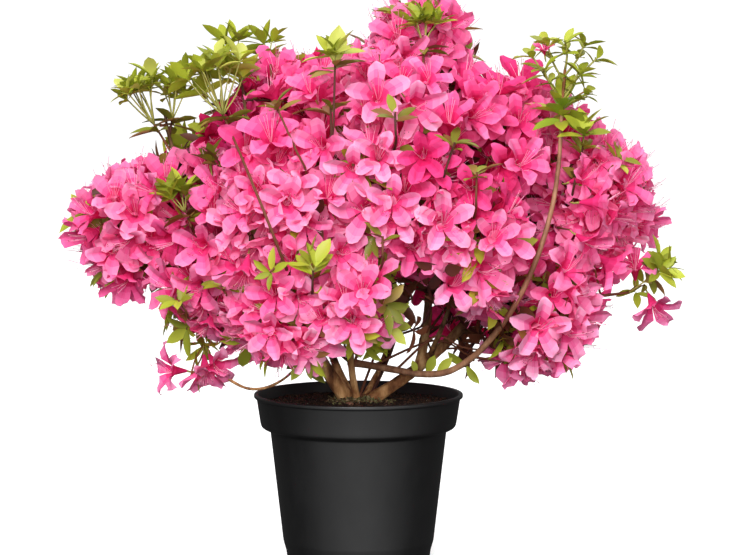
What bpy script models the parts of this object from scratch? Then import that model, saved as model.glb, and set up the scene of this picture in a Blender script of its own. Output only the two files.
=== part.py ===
"""A pink evergreen azalea in full flower, standing in a black nursery pot.

One object for each of: the pot, the potting soil, the root crown, each stem and
bough, and each mass of blossom and leaf. Metres, +Z up, +X to the right of the
front view and -Y towards the viewer. The origin is the centre of the pot's
underside.
"""

import math
import random

import bmesh
import bpy
from mathutils import Matrix, Vector
from mathutils.bvhtree import BVHTree

SEED = 1

# Clear gap kept between pieces that rest on, or grow from, each other
GAP = 0.0003

# Pot: a thin-walled nursery pot with a wide collar under its rolled lip
POT_HEIGHT = 0.150
POT_SIDES = 32
LIP_RADIUS = 0.0950
LIP_DEPTH = 0.0035
LIP_INSIDE_RADIUS = 0.0912
COLLAR_TOP_RADIUS = 0.0927
COLLAR_FOOT_RADIUS = 0.0891
COLLAR_HEIGHT = 0.0275
SHOULDER_HEIGHT = 0.0070
WALL_TOP_RADIUS = 0.0800
WALL_FOOT_RADIUS = 0.0686
STEP_TOP = 0.0160
STEP_FOOT = 0.0070
FOOT_RADIUS = 0.0660
FOOT_RING_INSIDE = 0.0560
FOOT_CHAMFER = 0.0020
CHANNEL_RISE = 0.0040
HUB_RADIUS = 0.0240
HUB_EDGE = 0.0280
WALL = 0.0016
FLOOR = 0.0020
LEDGE = 0.0030
DRAIN_HOLES = 6
DRAIN_RADIUS = 0.0048
DRAIN_SIDES = 6
DRAIN_CIRCLE = 0.0420

# Soil: fills the pot to just under the lip and mounds up a little at the stems
SOIL_EDGE = POT_HEIGHT - 0.0100
SOIL_MOUND = 0.0035
SOIL_TOP = SOIL_EDGE + SOIL_MOUND
SOIL_FLAT_RADIUS = 0.0270

# Root crown: the short flared foot that every stem springs from
CROWN_FOOT = SOIL_TOP + GAP
CROWN_HEIGHT = 0.0105
CROWN_FLARE_RADIUS = 0.0225
CROWN_TOP_RADIUS = 0.0150
CROWN_DOME = 0.72
CROWN_LOBES = 5
CROWN_LOBE_DEPTH = 0.14
CROWN_LOBE_TURN = 0.6
CROWN_RINGS = (0.0, 0.22, 0.55, 0.85, 1.0)
CROWN_SIDES = 20

# Limbs: a ring at about every RING_STEP, wandering a little from a smooth bow
RING_STEP = 0.034
WANDER = 0.012
MARCH = 0.00005
FIRST_STRETCH = 0.012
STOUT = 0.004
STOUT_SIDES = 8
SLIM_SIDES = 6
CROWN_SPREAD = 0.5
CROWN_SUNK = 0.55

# name: (heading on the root crown in degrees, end, bow, foot radius, tip radius)
STEMS = {
    "stem_left": (188, (-0.072, -0.012, 0.262), (-0.006, -0.004, -0.002), 0.0072, 0.0044),
    "stem_right": (-14, (0.110, -0.006, 0.232), (0.004, 0.000, -0.006), 0.0068, 0.0044),
    "stem_front": (262, (-0.010, -0.044, 0.268), (-0.003, -0.008, 0.000), 0.0048, 0.0036),
    "stem_back_left": (128, (-0.052, 0.072, 0.258), (-0.002, 0.006, -0.004), 0.0058, 0.0040),
    "stem_back_right": (52, (0.052, 0.082, 0.262), (0.004, 0.006, -0.006), 0.0056, 0.0040),
}

# name: (parent, how far along it, end, bow, foot radius, tip radius)
FORKS = {
    "stem_upright": ("stem_right", 0.42, (0.066, 0.006, 0.312), (0.004, 0.006, -0.010), 0.0042, 0.0034),
    "bowed_bough_foot": ("stem_front", 0.16, (0.080, -0.052, 0.171), (0, -0.010, -0.008), 0.0034, 0.0030),
    "bowed_bough_rise": (
        "bowed_bough_foot", 1.0, (0.180, -0.060, 0.406), (0.022, -0.008, -0.022), 0.0029, 0.0018,
    ),
}

# The bough that carries each mass: the limb that it springs from, how far along
# that limb, and its bow. Where there is no bow, the mass grows on that limb's tip
BOUGHS = {
    "far_left": ("stem_left", 0.62, (0.000, 0.006, 0.014)),
    "upper_left": ("stem_left", 1.0, (-0.010, 0.012, 0.006)),
    "lower_left": ("stem_left", 0.45, (0.000, -0.010, 0.008)),
    "upper_centre_left": ("stem_left", 1.0, (0.006, 0.008, 0.000)),
    "left_front": ("stem_left", 0.8, (0.004, -0.014, 0.004)),
    "centre_low_left": ("stem_front", 0.36, (-0.006, -0.008, -0.004)),
    "centre_low": ("stem_front", 0.62, (0.004, -0.010, -0.006)),
    "centre_front": ("stem_front", 1.0, (0.004, -0.006, 0.002)),
    "middle_top": ("stem_front", 1.0, (0.000, 0.010, 0.000)),
    "centre_right_front": ("stem_right", 0.5, (0.004, -0.014, 0.004)),
    "lower_right": ("stem_right", 0.78, (0.004, -0.004, -0.004)),
    "right": ("stem_right", 1.0, (0.010, 0.000, -0.006)),
    "upper_right": ("stem_right", 1.0, (-0.004, 0.006, -0.004)),
    "top_peak": ("stem_upright", 1.0, (-0.004, -0.002, 0.000)),
    "back_top": ("stem_upright", 1.0, (0.000, 0.006, 0.004)),
    "back_left": ("stem_back_left", 1.0, (-0.004, 0.006, -0.006)),
    "back_low": ("stem_back_left", 0.55, (0.004, 0.006, -0.004)),
    "back_centre": ("stem_back_right", 1.0, (-0.004, 0.004, -0.004)),
    "back_right": ("stem_back_right", 0.86, (0.006, 0.000, -0.010)),
    "low_left_spray": ("stem_left", 0.14, (0.004, -0.010, -0.012)),
    "right_outlier": ("stem_right", 0.92, (0.006, 0.030, -0.004)),
    "left_shoot": ("stem_left", 0.92, (-0.006, -0.030, 0.000)),
    "far_left_shoot": ("stem_left", 0.86, (-0.020, -0.016, 0.000)),
    "right_shoot": ("bowed_bough_rise", 1.0, None),
}

# The rounded space of each mass: its centre and its half sizes
SPACES = {
    "far_left": ((-0.205, -0.010, 0.300), (0.060, 0.068, 0.068)),
    "upper_left": ((-0.134, 0.012, 0.358), (0.065, 0.071, 0.069)),
    "lower_left": ((-0.127, -0.052, 0.247), (0.067, 0.067, 0.071)),
    "upper_centre_left": ((-0.058, 0.012, 0.407), (0.065, 0.071, 0.065)),
    "left_front": ((-0.062, -0.105, 0.335), (0.065, 0.067, 0.069)),
    "centre_low_left": ((-0.060, -0.109, 0.238), (0.059, 0.063, 0.063)),
    "centre_low": ((0.014, -0.119, 0.240), (0.055, 0.059, 0.055)),
    "centre_front": ((0.031, -0.119, 0.345), (0.065, 0.065, 0.069)),
    "middle_top": ((0.022, -0.037, 0.409), (0.063, 0.065, 0.063)),
    "centre_right_front": ((0.094, -0.105, 0.290), (0.063, 0.065, 0.067)),
    "lower_right": ((0.150, -0.050, 0.230), (0.068, 0.066, 0.064)),
    "right": ((0.202, -0.006, 0.332), (0.066, 0.071, 0.066)),
    "upper_right": ((0.129, 0.000, 0.380), (0.067, 0.071, 0.067)),
    "top_peak": ((0.058, 0.010, 0.456), (0.062, 0.065, 0.066)),
    "back_top": ((0.000, 0.088, 0.415), (0.069, 0.067, 0.065)),
    "back_left": ((-0.127, 0.109, 0.318), (0.069, 0.069, 0.071)),
    "back_low": ((-0.035, 0.139, 0.240), (0.071, 0.063, 0.061)),
    "back_centre": ((-0.004, 0.150, 0.331), (0.071, 0.067, 0.069)),
    "back_right": ((0.117, 0.115, 0.308), (0.071, 0.071, 0.071)),
    "low_left_spray": ((-0.156, -0.060, 0.169), (0.046, 0.044, 0.042)),
    "right_outlier": ((0.250, -0.032, 0.246), (0.046, 0.044, 0.045)),
    "left_shoot": ((-0.106, -0.066, 0.446), (0.050, 0.038, 0.040)),
    "far_left_shoot": ((-0.190, -0.014, 0.430), (0.038, 0.036, 0.040)),
    "right_shoot": ((0.184, -0.050, 0.456), (0.046, 0.038, 0.040)),
}

# Twigs in a mass, and the share of them that end in blossom, where they differ
# from the usual ones
TWIGS = 21
TWIG_COUNTS = {
    "low_left_spray": 5, "right_outlier": 5, "left_shoot": 7, "far_left_shoot": 5, "right_shoot": 7,
}
BLOSSOM_SHARE = 1.0
BLOSSOM_SHARES = {"left_shoot": 0.0, "far_left_shoot": 0.0, "right_shoot": 0.0}

# Leafy leaders that stand up out of a mass: offsets of their tips from its centre
LEADERS = {
    "upper_centre_left": ((0.036, -0.030, 0.052),),
    "top_peak": ((0.004, 0.004, 0.050),),
}

# Twigs spread over a sphere, leaning outwards from the middle of the crown; each
# tip stands a share of the way out to the edge of its mass's space, and is moved
# by up to STRAY until its blossom fits
CROWN_MIDDLE = (0.010, 0.015, 0.300)
OUTWARD = 0.45
JITTER = 0.15
REACH = (0.50, 1.04)
STRAY = 0.5
TRIES = 220

# Where along its mass's stem a twig begins, and which part of it nothing may cross
TWIG_ROOT = (0.25, 1.0)
TWIG_FOOT = 0.35
TWIG_NECK = 0.75

# Blossom and leaves may stand this much further out than their mass's half sizes
OUTLINE = 1.06
SQUARENESS = 2.6

# Where a bough enters its mass, and where the mass's own stem first divides,
# both as a share of the way back from the mass's centre to the fork
BOUGH_ENTERS = 0.72
HUB_BACK = 0.22
STRAIGHT_ON = 0.3
BOUGH_RADIUS = 0.0016
BOUGH_THICKENS = 0.012
BOUGH_TIP_RADIUS = 0.0019
STEM_SIDES = 5
TWIG_SIDES = 3
STEM_RADIUS = 0.0017
TWIG_RADIUS = 0.0012
TWIG_TIP_RADIUS = 0.0011

# Blossom: an open five-lobed funnel on a slim tube, larger than life, and tried
# from the largest down to the smallest until it fits
FLOWER_RADIUS = 0.0340
FLOWER_DEPTH = 0.0280
THROAT_DEPTH = 0.0125
LOBES = 5
NECK_WIDTH = 0.0021
NECK_HEIGHT = 0.0060
STALK_SIDES = 3
TRUSS_STEP = 0.0040
TRUSS_LEAN = {1: 30, 2: 52, 3: 62}
TRUSS_COUNTS = (1, 2)
LARGEST_FLOWER = 1.08
SMALLEST_FLOWER = 0.56

# Corners of one lobe's edge, from its notch round to the next: how far out, how
# far turned from even spacing, and how far in front of the flower's depth
POINTS_PER_LOBE = 3
LOBE_REACH = (0.64, 1.0, 1.0)
LOBE_SHIFT = (0.0, -0.08, 0.08)
LOBE_LIFT = (-0.0020, 0.0024, 0.0024)

# Leaves: narrow and pointed, folded a little along the midrib, in whorls. WHORL
# lists how many may stand below a truss, and SHOOT_WHORL is a leafy shoot's count
LEAF_LENGTH = 0.031
LEAF_WIDTH = 0.0115
LEAF_THICKNESS = 0.0012
LEAF_FOLD = 0.0016
LEAF_WIDEST = 0.55
LEAF_SIZES = (0.75, 1.1)
LEAF_ROLL = 0.4
LEAF_RISE = 5
SHOOT_RISE = 40
RISE_SPREAD = 12
WHORL = (0, 0, 1)
SHOOT_WHORL = 5
WHORL_BACK = 0.006
LEAF_STEP = 0.0016

# Within this distance of their feet, blossom and leaves on one twig may overlap
CROSSING_FREE = 0.006

# Space kept between neighbouring masses, and between a mass and any limb or pot
CELL_MARGIN = 0.0003
CLEARANCE = 0.0006
POT_CLEARANCE = 0.0025

# Colours read from the plant, as linear red, green and blue
POT_BLACK = (0.012, 0.012, 0.012)
PEAT_BROWN = (0.035, 0.018, 0.011)
BARK_BROWN = (0.190, 0.090, 0.045)
BLOSSOM_PINK = (0.880, 0.130, 0.330)
LEAF_GREEN = (0.230, 0.300, 0.040)


def clear_scene():
    for old in list(bpy.data.objects):
        bpy.data.objects.remove(old)


def material(name, colour, roughness):
    made = bpy.data.materials.new(name)
    made.use_nodes = True
    shader = made.node_tree.nodes["Principled BSDF"]
    shader.inputs["Base Color"].default_value = (*colour, 1.0)
    shader.inputs["Roughness"].default_value = roughness
    shader.inputs["Metallic"].default_value = 0.0
    return made


def add_object(name, mesh, look, smooth_angle=None):
    """Turns a bmesh into an object of that name, linked to the scene."""
    data = bpy.data.meshes.new(name)
    mesh.to_mesh(data)
    mesh.free()
    data.materials.append(look)
    if smooth_angle is not None:
        data.shade_smooth()
        data.set_sharp_from_angle(angle=math.radians(smooth_angle))
    made = bpy.data.objects.new(name, data)
    bpy.context.collection.objects.link(made)
    return made


def turned(profile, sides):
    """A closed solid of revolution about Z from a profile that starts and ends on the axis."""
    mesh = bmesh.new()
    rings = [mesh.verts.new((radius, 0.0, height)) for radius, height in profile]
    for lower, upper in zip(rings, rings[1:]):
        mesh.edges.new((lower, upper))
    bmesh.ops.spin(
        mesh, geom=mesh.verts[:] + mesh.edges[:], cent=(0, 0, 0), axis=(0, 0, 1),
        angle=math.tau, steps=sides, use_merge=True,
    )
    bmesh.ops.remove_doubles(mesh, verts=mesh.verts, dist=1e-6)
    bmesh.ops.recalc_face_normals(mesh, faces=mesh.faces[:])
    return mesh


def drain_cutter(index):
    """An upright peg, through the base, that cuts one drain hole."""
    turn = math.tau * (index + 0.5) / DRAIN_HOLES
    mesh = bmesh.new()
    bmesh.ops.create_cone(
        mesh, cap_ends=True, segments=DRAIN_SIDES, radius1=DRAIN_RADIUS, radius2=DRAIN_RADIUS,
        depth=4 * (CHANNEL_RISE + FLOOR),
    )
    place = Vector((DRAIN_CIRCLE * math.cos(turn), DRAIN_CIRCLE * math.sin(turn), 0.0))
    bmesh.ops.translate(mesh, verts=mesh.verts, vec=place)
    return mesh


def make_pot(look):
    rim = POT_HEIGHT
    collar_foot = rim - COLLAR_HEIGHT
    shoulder_foot = collar_foot - SHOULDER_HEIGHT
    outside = [
        (0.0, 0.0),
        (HUB_RADIUS, 0.0),
        (HUB_EDGE, CHANNEL_RISE),
        (FOOT_RING_INSIDE, CHANNEL_RISE),
        (FOOT_RING_INSIDE + FOOT_CHAMFER, 0.0),
        (FOOT_RADIUS - FOOT_CHAMFER / 2, 0.0),
        (FOOT_RADIUS, STEP_FOOT),
        (WALL_FOOT_RADIUS, STEP_TOP),
        (WALL_TOP_RADIUS, shoulder_foot),
        (COLLAR_FOOT_RADIUS, collar_foot),
        (COLLAR_TOP_RADIUS, rim - LIP_DEPTH),
        (LIP_RADIUS, rim - LIP_DEPTH),
        (LIP_RADIUS, rim),
    ]
    inside = [
        (LIP_INSIDE_RADIUS, rim),
        (COLLAR_FOOT_RADIUS - WALL, collar_foot + LEDGE),
        (WALL_TOP_RADIUS - WALL, shoulder_foot),
        (WALL_FOOT_RADIUS - WALL, STEP_TOP),
        (FOOT_RADIUS - WALL, CHANNEL_RISE + FLOOR),
        (0.0, CHANNEL_RISE + FLOOR),
    ]
    pot = add_object("pot", turned(outside + inside, POT_SIDES), look, 35)
    for index in range(DRAIN_HOLES):
        cutter = add_object(f"drain_cutter_{index}", drain_cutter(index), look)
        cutter.hide_render = True
        cutter.display_type = "WIRE"
        cut = pot.modifiers.new(f"drain_{index}", "BOOLEAN")
        cut.operation = "DIFFERENCE"
        cut.object = cutter
    return pot


def make_soil(look):
    collar_foot = POT_HEIGHT - COLLAR_HEIGHT
    shoulder_foot = collar_foot - SHOULDER_HEIGHT
    clear = WALL + 2 * GAP
    slope = (LIP_INSIDE_RADIUS - (COLLAR_FOOT_RADIUS - WALL)) / (COLLAR_HEIGHT - LEDGE)
    edge_radius = LIP_INSIDE_RADIUS - slope * (POT_HEIGHT - SOIL_EDGE) - 2 * GAP
    profile = [
        (0.0, CHANNEL_RISE + FLOOR + GAP),
        (FOOT_RADIUS - clear, CHANNEL_RISE + FLOOR + GAP),
        (WALL_FOOT_RADIUS - clear, STEP_TOP),
        (WALL_TOP_RADIUS - clear, shoulder_foot),
        (COLLAR_FOOT_RADIUS - clear, collar_foot + LEDGE),
        (edge_radius, SOIL_EDGE),
        (SOIL_FLAT_RADIUS, SOIL_TOP),
        (0.0, SOIL_TOP),
    ]
    return add_object("soil", turned(profile, POT_SIDES), look, 35)


def extruded(mesh, end, keep_old):
    """Extrudes the end face; returns its new corners and the new end face."""
    grown = bmesh.ops.extrude_face_region(mesh, geom=end)["geom"]
    if not keep_old:
        bmesh.ops.delete(mesh, geom=end, context="FACES_ONLY")
    ring = [item for item in grown if isinstance(item, bmesh.types.BMVert)]
    return ring, [item for item in grown if isinstance(item, bmesh.types.BMFace)]


def make_root_crown(look):
    """A flat-footed, five-lobed flare that narrows to a rounded top."""
    mesh = bmesh.new()
    bmesh.ops.create_circle(mesh, cap_ends=True, segments=CROWN_SIDES, radius=1.0)
    end = mesh.faces[:]
    for before, after in zip(CROWN_RINGS, CROWN_RINGS[1:]):
        rim, end = extruded(mesh, end, keep_old=before == 0.0)
        bmesh.ops.translate(mesh, verts=rim, vec=(0.0, 0.0, after - before))
    for vert in mesh.verts:
        height = vert.co.z
        turn = math.atan2(vert.co.y, vert.co.x)
        flare = (1.0 - height) ** 2
        dome = 1.0 if height < 0.9 else CROWN_DOME
        lobe = 1.0 + CROWN_LOBE_DEPTH * flare * math.cos(CROWN_LOBES * turn + CROWN_LOBE_TURN)
        radius = (CROWN_TOP_RADIUS + (CROWN_FLARE_RADIUS - CROWN_TOP_RADIUS) * flare) * lobe * dome
        vert.co = (radius * math.cos(turn), radius * math.sin(turn), CROWN_FOOT + CROWN_HEIGHT * height)
    bmesh.ops.recalc_face_normals(mesh, faces=mesh.faces[:])
    return add_object("root_crown", mesh, look, 50)


def bowed(start, end, bow, rng):
    """Points from start to end along a bow, wandering a little like a grown limb."""
    length = (end - start).length
    steps = max(3, round(length / RING_STEP))
    control = (start + end) / 2 + 2 * bow
    points = []
    for step in range(steps + 1):
        t = step / steps
        point = start * (1 - t) ** 2 + control * (2 * t * (1 - t)) + end * t ** 2
        if 0 < step < steps:
            stray = Vector([rng.uniform(-1, 1) for _ in range(3)])
            point = point + stray * WANDER * length * 0.5
        points.append(point)
    return points


def along_points(points, share):
    """The point a given share of the way along a line of points."""
    place = share * (len(points) - 1)
    step = min(int(place), len(points) - 2)
    return points[step].lerp(points[step + 1], place - step)


def tangents(points):
    found = []
    for index in range(len(points)):
        before = points[max(index - 1, 0)]
        after = points[min(index + 1, len(points) - 1)]
        found.append((after - before).normalized())
    return found


def tube(points, radii, sides):
    """A closed tapering tube with flat ends, one ring of corners at each point."""
    axes = tangents(points)
    mesh = bmesh.new()
    bmesh.ops.create_circle(mesh, cap_ends=True, segments=sides, radius=radii[0])
    face_along = Vector((0, 0, 1)).rotation_difference(axes[0]).to_matrix().to_4x4()
    bmesh.ops.transform(mesh, verts=mesh.verts, matrix=Matrix.Translation(points[0]) @ face_along)
    end = mesh.faces[:]
    for before in range(len(points) - 1):
        after = before + 1
        ring, end = extruded(mesh, end, keep_old=before == 0)
        turn = axes[before].rotation_difference(axes[after]).to_matrix().to_4x4()
        size = Matrix.Scale(radii[after] / radii[before], 4)
        move = Matrix.Translation(points[after]) @ turn @ size @ Matrix.Translation(-points[before])
        bmesh.ops.transform(mesh, verts=ring, matrix=move)
    bmesh.ops.recalc_face_normals(mesh, faces=mesh.faces[:])
    return mesh


def tapered(count, foot, tip):
    return [foot + (tip - foot) * index / (count - 1) for index in range(count)]


def clearance(tree, point):
    """How far outside the tree's closed surface a point lies; negative inside."""
    ray = Vector((0.31, 0.17, 0.93))
    _, normal, _, distance = tree.ray_cast(point, ray)
    inside = distance is not None and normal.dot(ray) > 0
    distance = tree.find_nearest(point)[3]
    return -distance if inside else distance


def trimmed(points, radius, obstacles):
    """The line with its start moved along it until the limb's foot and first stretch are clear."""
    points = list(points)
    while True:
        axis = (points[1] - points[0]).normalized()
        across = axis.orthogonal().normalized()
        rim = [Matrix.Rotation(math.tau * k / 12, 3, axis) @ across * radius for k in range(12)]
        end_face = [spot * share for share in (0.0, 0.25, 0.5, 0.75) for spot in rim]
        rings = [axis * FIRST_STRETCH * share for share in (0.0, 0.25, 0.5, 0.75, 1.0)]
        spots = [points[0] + ring + spot for ring in rings for spot in rim]
        spots += [points[0] + spot for spot in end_face]
        if all(clearance(tree, spot) >= GAP for tree in obstacles for spot in spots):
            return points
        points[0] = points[0] + axis * MARCH
        if (points[1] - points[0]).length < 2 * MARCH:
            points.pop(0)


class Limb:
    """One grown limb: its line of points, its surface, and a surface with the clearance round it."""

    def __init__(self, name, start, end, bow, foot, tip, limbs, look):
        obstacles = [limb.surface for limb in limbs]
        self.points = trimmed(bowed(start, end, bow, random.Random(name)), foot, obstacles)
        sides = STOUT_SIDES if foot > STOUT else SLIM_SIDES
        radii = tapered(len(self.points), foot, tip)
        mesh = tube(self.points, radii, sides)
        self.surface = BVHTree.FromBMesh(mesh)
        add_object(name, mesh, look, 60)
        kept_off = tube(self.points, [radius + CLEARANCE for radius in radii], sides)
        self.keep_off = BVHTree.FromBMesh(kept_off)
        kept_off.free()
        self.heading = (self.points[-1] - self.points[-2]).normalized()


def flower(size):
    """A five-lobed funnel on a three-sided stalk: the stalk's point at the origin, opening towards +Z."""
    mesh = bmesh.new()
    corners = LOBES * POINTS_PER_LOBE
    bmesh.ops.create_cone(
        mesh, cap_ends=True, cap_tris=True, segments=corners, radius1=NECK_WIDTH, radius2=1.0, depth=1.0,
    )
    merged = {}
    first = {}
    for vert in mesh.verts:
        behind = vert.co.z < 0
        if vert.co.xy.length < 0.5 * NECK_WIDTH:
            vert.co = (0, 0, 0 if behind else (FLOWER_DEPTH - THROAT_DEPTH) * size)
            continue
        turn = math.atan2(vert.co.y, vert.co.x) % math.tau
        corner = round(turn * corners / math.tau) % corners
        if behind:
            side = corner * STALK_SIDES // corners
            spot = math.tau * (side + 0.4) / STALK_SIDES
            vert.co = (NECK_WIDTH * math.cos(spot), NECK_WIDTH * math.sin(spot), NECK_HEIGHT)
            if side in first:
                merged[vert] = first[side]
            first.setdefault(side, vert)
            continue
        kind = corner % POINTS_PER_LOBE
        spot = math.tau * (corner + LOBE_SHIFT[kind]) / corners
        radius = FLOWER_RADIUS * LOBE_REACH[kind] * size
        depth = (FLOWER_DEPTH + LOBE_LIFT[kind]) * size
        vert.co = (radius * math.cos(spot), radius * math.sin(spot), depth)
    bmesh.ops.weld_verts(mesh, targetmap=merged)
    bmesh.ops.recalc_face_normals(mesh, faces=mesh.faces[:])
    return mesh


def leaf(size):
    """A folded, pointed blade of eight faces: its foot at the origin, lying along +X."""
    mesh = bmesh.new()
    bmesh.ops.create_cone(
        mesh, cap_ends=True, cap_tris=True, segments=4, radius1=1.0, radius2=0.0, depth=1.0,
    )
    for vert in mesh.verts:
        if vert.co.xy.length < 0.5:
            half = 0.5 if vert.co.z > 0 else -0.5
            vert.co = (LEAF_WIDEST * LEAF_LENGTH * size, 0.0, LEAF_THICKNESS * half)
        elif abs(vert.co.x) > abs(vert.co.y):
            vert.co = (LEAF_LENGTH * size if vert.co.x > 0 else 0.0, 0.0, 0.0)
        else:
            side = 0.5 if vert.co.y > 0 else -0.5
            vert.co = (LEAF_WIDEST * LEAF_LENGTH * size, LEAF_WIDTH * side * size, LEAF_FOLD)
    bmesh.ops.recalc_face_normals(mesh, faces=mesh.faces[:])
    return mesh


def placed(mesh, foot, axis, along, roll):
    """The mesh with its +Z (or +X) turned to the axis, rolled about it and moved to foot."""
    turn = along.rotation_difference(axis).to_matrix().to_4x4()
    spin = Matrix.Rotation(roll, 4, along)
    bmesh.ops.transform(mesh, verts=mesh.verts, matrix=Matrix.Translation(foot) @ turn @ spin)
    return mesh


def in_cell(name, point):
    """True where a point is nearer to this mass than to any other, by flat walls, and over the pot."""
    if math.hypot(point.x, point.y) < LIP_RADIUS + POT_CLEARANCE and point.z < POT_HEIGHT + POT_CLEARANCE:
        return False
    own = cell_power(name, point)
    centre = Vector(SPACES[name][0])
    for other, (far_centre, _) in SPACES.items():
        if other == name:
            continue
        apart = (Vector(far_centre) - centre).length
        if own + 2 * apart * CELL_MARGIN > cell_power(other, point):
            return False
    return True


def cell_power(name, point):
    centre, half = SPACES[name]
    radius = sum(half) / 3
    return (point - Vector(centre)).length_squared - radius ** 2


def in_outline(name, point):
    """True inside the mass's own rounded space, which gives the crown its outline."""
    centre, half = SPACES[name]
    spread = sum(abs((point[k] - centre[k]) / half[k]) ** SQUARENESS for k in range(3))
    return spread <= OUTLINE ** SQUARENESS


def fits(name, mesh, obstacles):
    """True for a piece that stays in its mass's cell and touches no limb."""
    if not all(in_cell(name, vert.co) for vert in mesh.verts):
        return False
    tree = BVHTree.FromBMesh(mesh)
    return not any(tree.overlap(other) for other in obstacles)


def directions(count, outward, rng):
    """Directions spread over a sphere, leaning outwards, with a seeded turn and jitter."""
    golden = math.pi * (3 - math.sqrt(5))
    turn = rng.uniform(0, math.tau)
    for index in range(count):
        height = 1 - 2 * (index + 0.5) / count
        around = math.sqrt(1 - height ** 2)
        heading = turn + golden * index
        spot = Vector((around * math.cos(heading), around * math.sin(heading), height))
        jitter = Vector([rng.uniform(-1, 1) for _ in range(3)])
        yield (spot + OUTWARD * outward + JITTER * jitter).normalized()


def on_twig(bloom, foot, root):
    """Draws the flower's stalk back from its foot to the root, as one three-sided twig with it."""
    point = min(bloom.verts, key=lambda vert: (vert.co - foot).length)
    neck = [edge.other_vert(point) for edge in point.link_edges]
    bmesh.ops.delete(bloom, geom=[point], context="VERTS")
    end = bmesh.ops.contextual_create(bloom, geom=neck)["faces"]
    middle = sum((vert.co for vert in neck), Vector()) / STALK_SIDES
    ring, _ = extruded(bloom, end, keep_old=False)
    narrow = Matrix.Scale(TWIG_RADIUS / NECK_WIDTH, 4)
    turn = (middle - foot).rotation_difference(middle - root).to_matrix().to_4x4()
    move = Matrix.Translation(root) @ turn @ narrow @ Matrix.Translation(-middle)
    bmesh.ops.transform(bloom, verts=ring, matrix=move)
    bmesh.ops.recalc_face_normals(bloom, faces=bloom.faces[:])


def truss(tip, axis, count, rng):
    """Flowers that share one twig: the first on its tip, any other leaning out from a step below."""
    pieces = []
    roll = rng.uniform(0, math.tau)
    lean = math.radians(TRUSS_LEAN[count])
    for index in range(count):
        side = Matrix.Rotation(roll + math.tau * index / count, 3, axis) @ axis.orthogonal()
        facing = (axis * math.cos(lean) + side.normalized() * math.sin(lean)).normalized()
        foot = tip - axis * TRUSS_STEP * index
        pieces.append((foot, facing, rng.uniform(0, math.tau)))
    return pieces


def whorl(tip, axis, count, rise, rng):
    """Leaves round a twig, each a step further down it: foot, direction, roll and size of each."""
    pieces = []
    roll = rng.uniform(0, math.tau)
    for index in range(count):
        side = Matrix.Rotation(roll + math.tau * index / count, 3, axis) @ axis.orthogonal()
        lean = math.radians(rise + rng.uniform(-RISE_SPREAD, RISE_SPREAD))
        out = (axis * math.sin(lean) + side.normalized() * math.cos(lean)).normalized()
        foot = tip - axis * LEAF_STEP * (index + 0.5)
        pieces.append((foot, out, rng.uniform(-LEAF_ROLL, LEAF_ROLL), rng.uniform(*LEAF_SIZES)))
    return pieces


def outer_faces(mesh, foot, facing):
    """A flower's or leaf's surface with its foot drawn up into it, for telling whether two would cross."""
    corners = [vert.co.copy() for vert in mesh.verts]
    mesh.verts.index_update()
    for index, corner in enumerate(corners):
        if (corner - foot).length < CROSSING_FREE:
            corners[index] = foot + facing * CROSSING_FREE
    return BVHTree.FromPolygons(corners, [[vert.index for vert in face.verts] for face in mesh.faces])


def crosses(tree, others):
    return any(tree.overlap(other) for other in others)


def add_blade(name, mesh, foot, facing, obstacles, pieces, guards, leader=False):
    """Keeps a flower or leaf that fits its mass and crosses nothing in it; says whether it was kept."""
    guard = outer_faces(mesh, foot, facing)
    inside = leader or all(in_outline(name, vert.co) for vert in mesh.verts)
    if inside and fits(name, mesh, obstacles) and not crosses(guard, guards):
        pieces.append(mesh)
        guards.append(guard)
        return True
    mesh.free()
    return False


def grow_blossom(name, root, tip, axis, size, obstacles, guards, rng):
    """The flowers of one truss that fit at that tip, all on one twig."""
    kept = []
    for foot, facing, roll in truss(tip, axis, rng.choice(TRUSS_COUNTS), rng):
        bloom = placed(flower(size), foot, facing, Vector((0, 0, 1)), roll)
        if not add_blade(name, bloom, foot, facing, obstacles, kept, guards) and not kept:
            return []
    on_twig(kept[0], tip, root)
    return kept


def clear_line(name, root, tip, obstacles, guards):
    """A three-sided twig between those points, or nothing where it would not fit."""
    twig = tube([root, tip], (TWIG_RADIUS, TWIG_TIP_RADIUS), TWIG_SIDES)
    if fits(name, twig, obstacles) and not crosses(BVHTree.FromBMesh(twig), guards):
        return twig
    twig.free()
    return None


def twig_guard(root, tip):
    """A twig's surface without its two ends, for telling whether something would cross it."""
    ends = [root.lerp(tip, TWIG_FOOT), root.lerp(tip, TWIG_NECK)]
    bare = tube(ends, (TWIG_RADIUS, TWIG_RADIUS), TWIG_SIDES)
    tree = BVHTree.FromBMesh(bare)
    bare.free()
    return tree


def mass_stem(name, carrier):
    """The line of a mass's own stem, on from its carrier's flat tip and then in towards its centre."""
    base = carrier.points[-1] + carrier.heading * GAP
    hub = Vector(SPACES[name][0]).lerp(base, HUB_BACK)
    return [base, base + carrier.heading * STRAIGHT_ON * (hub - base).length, hub]


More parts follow.
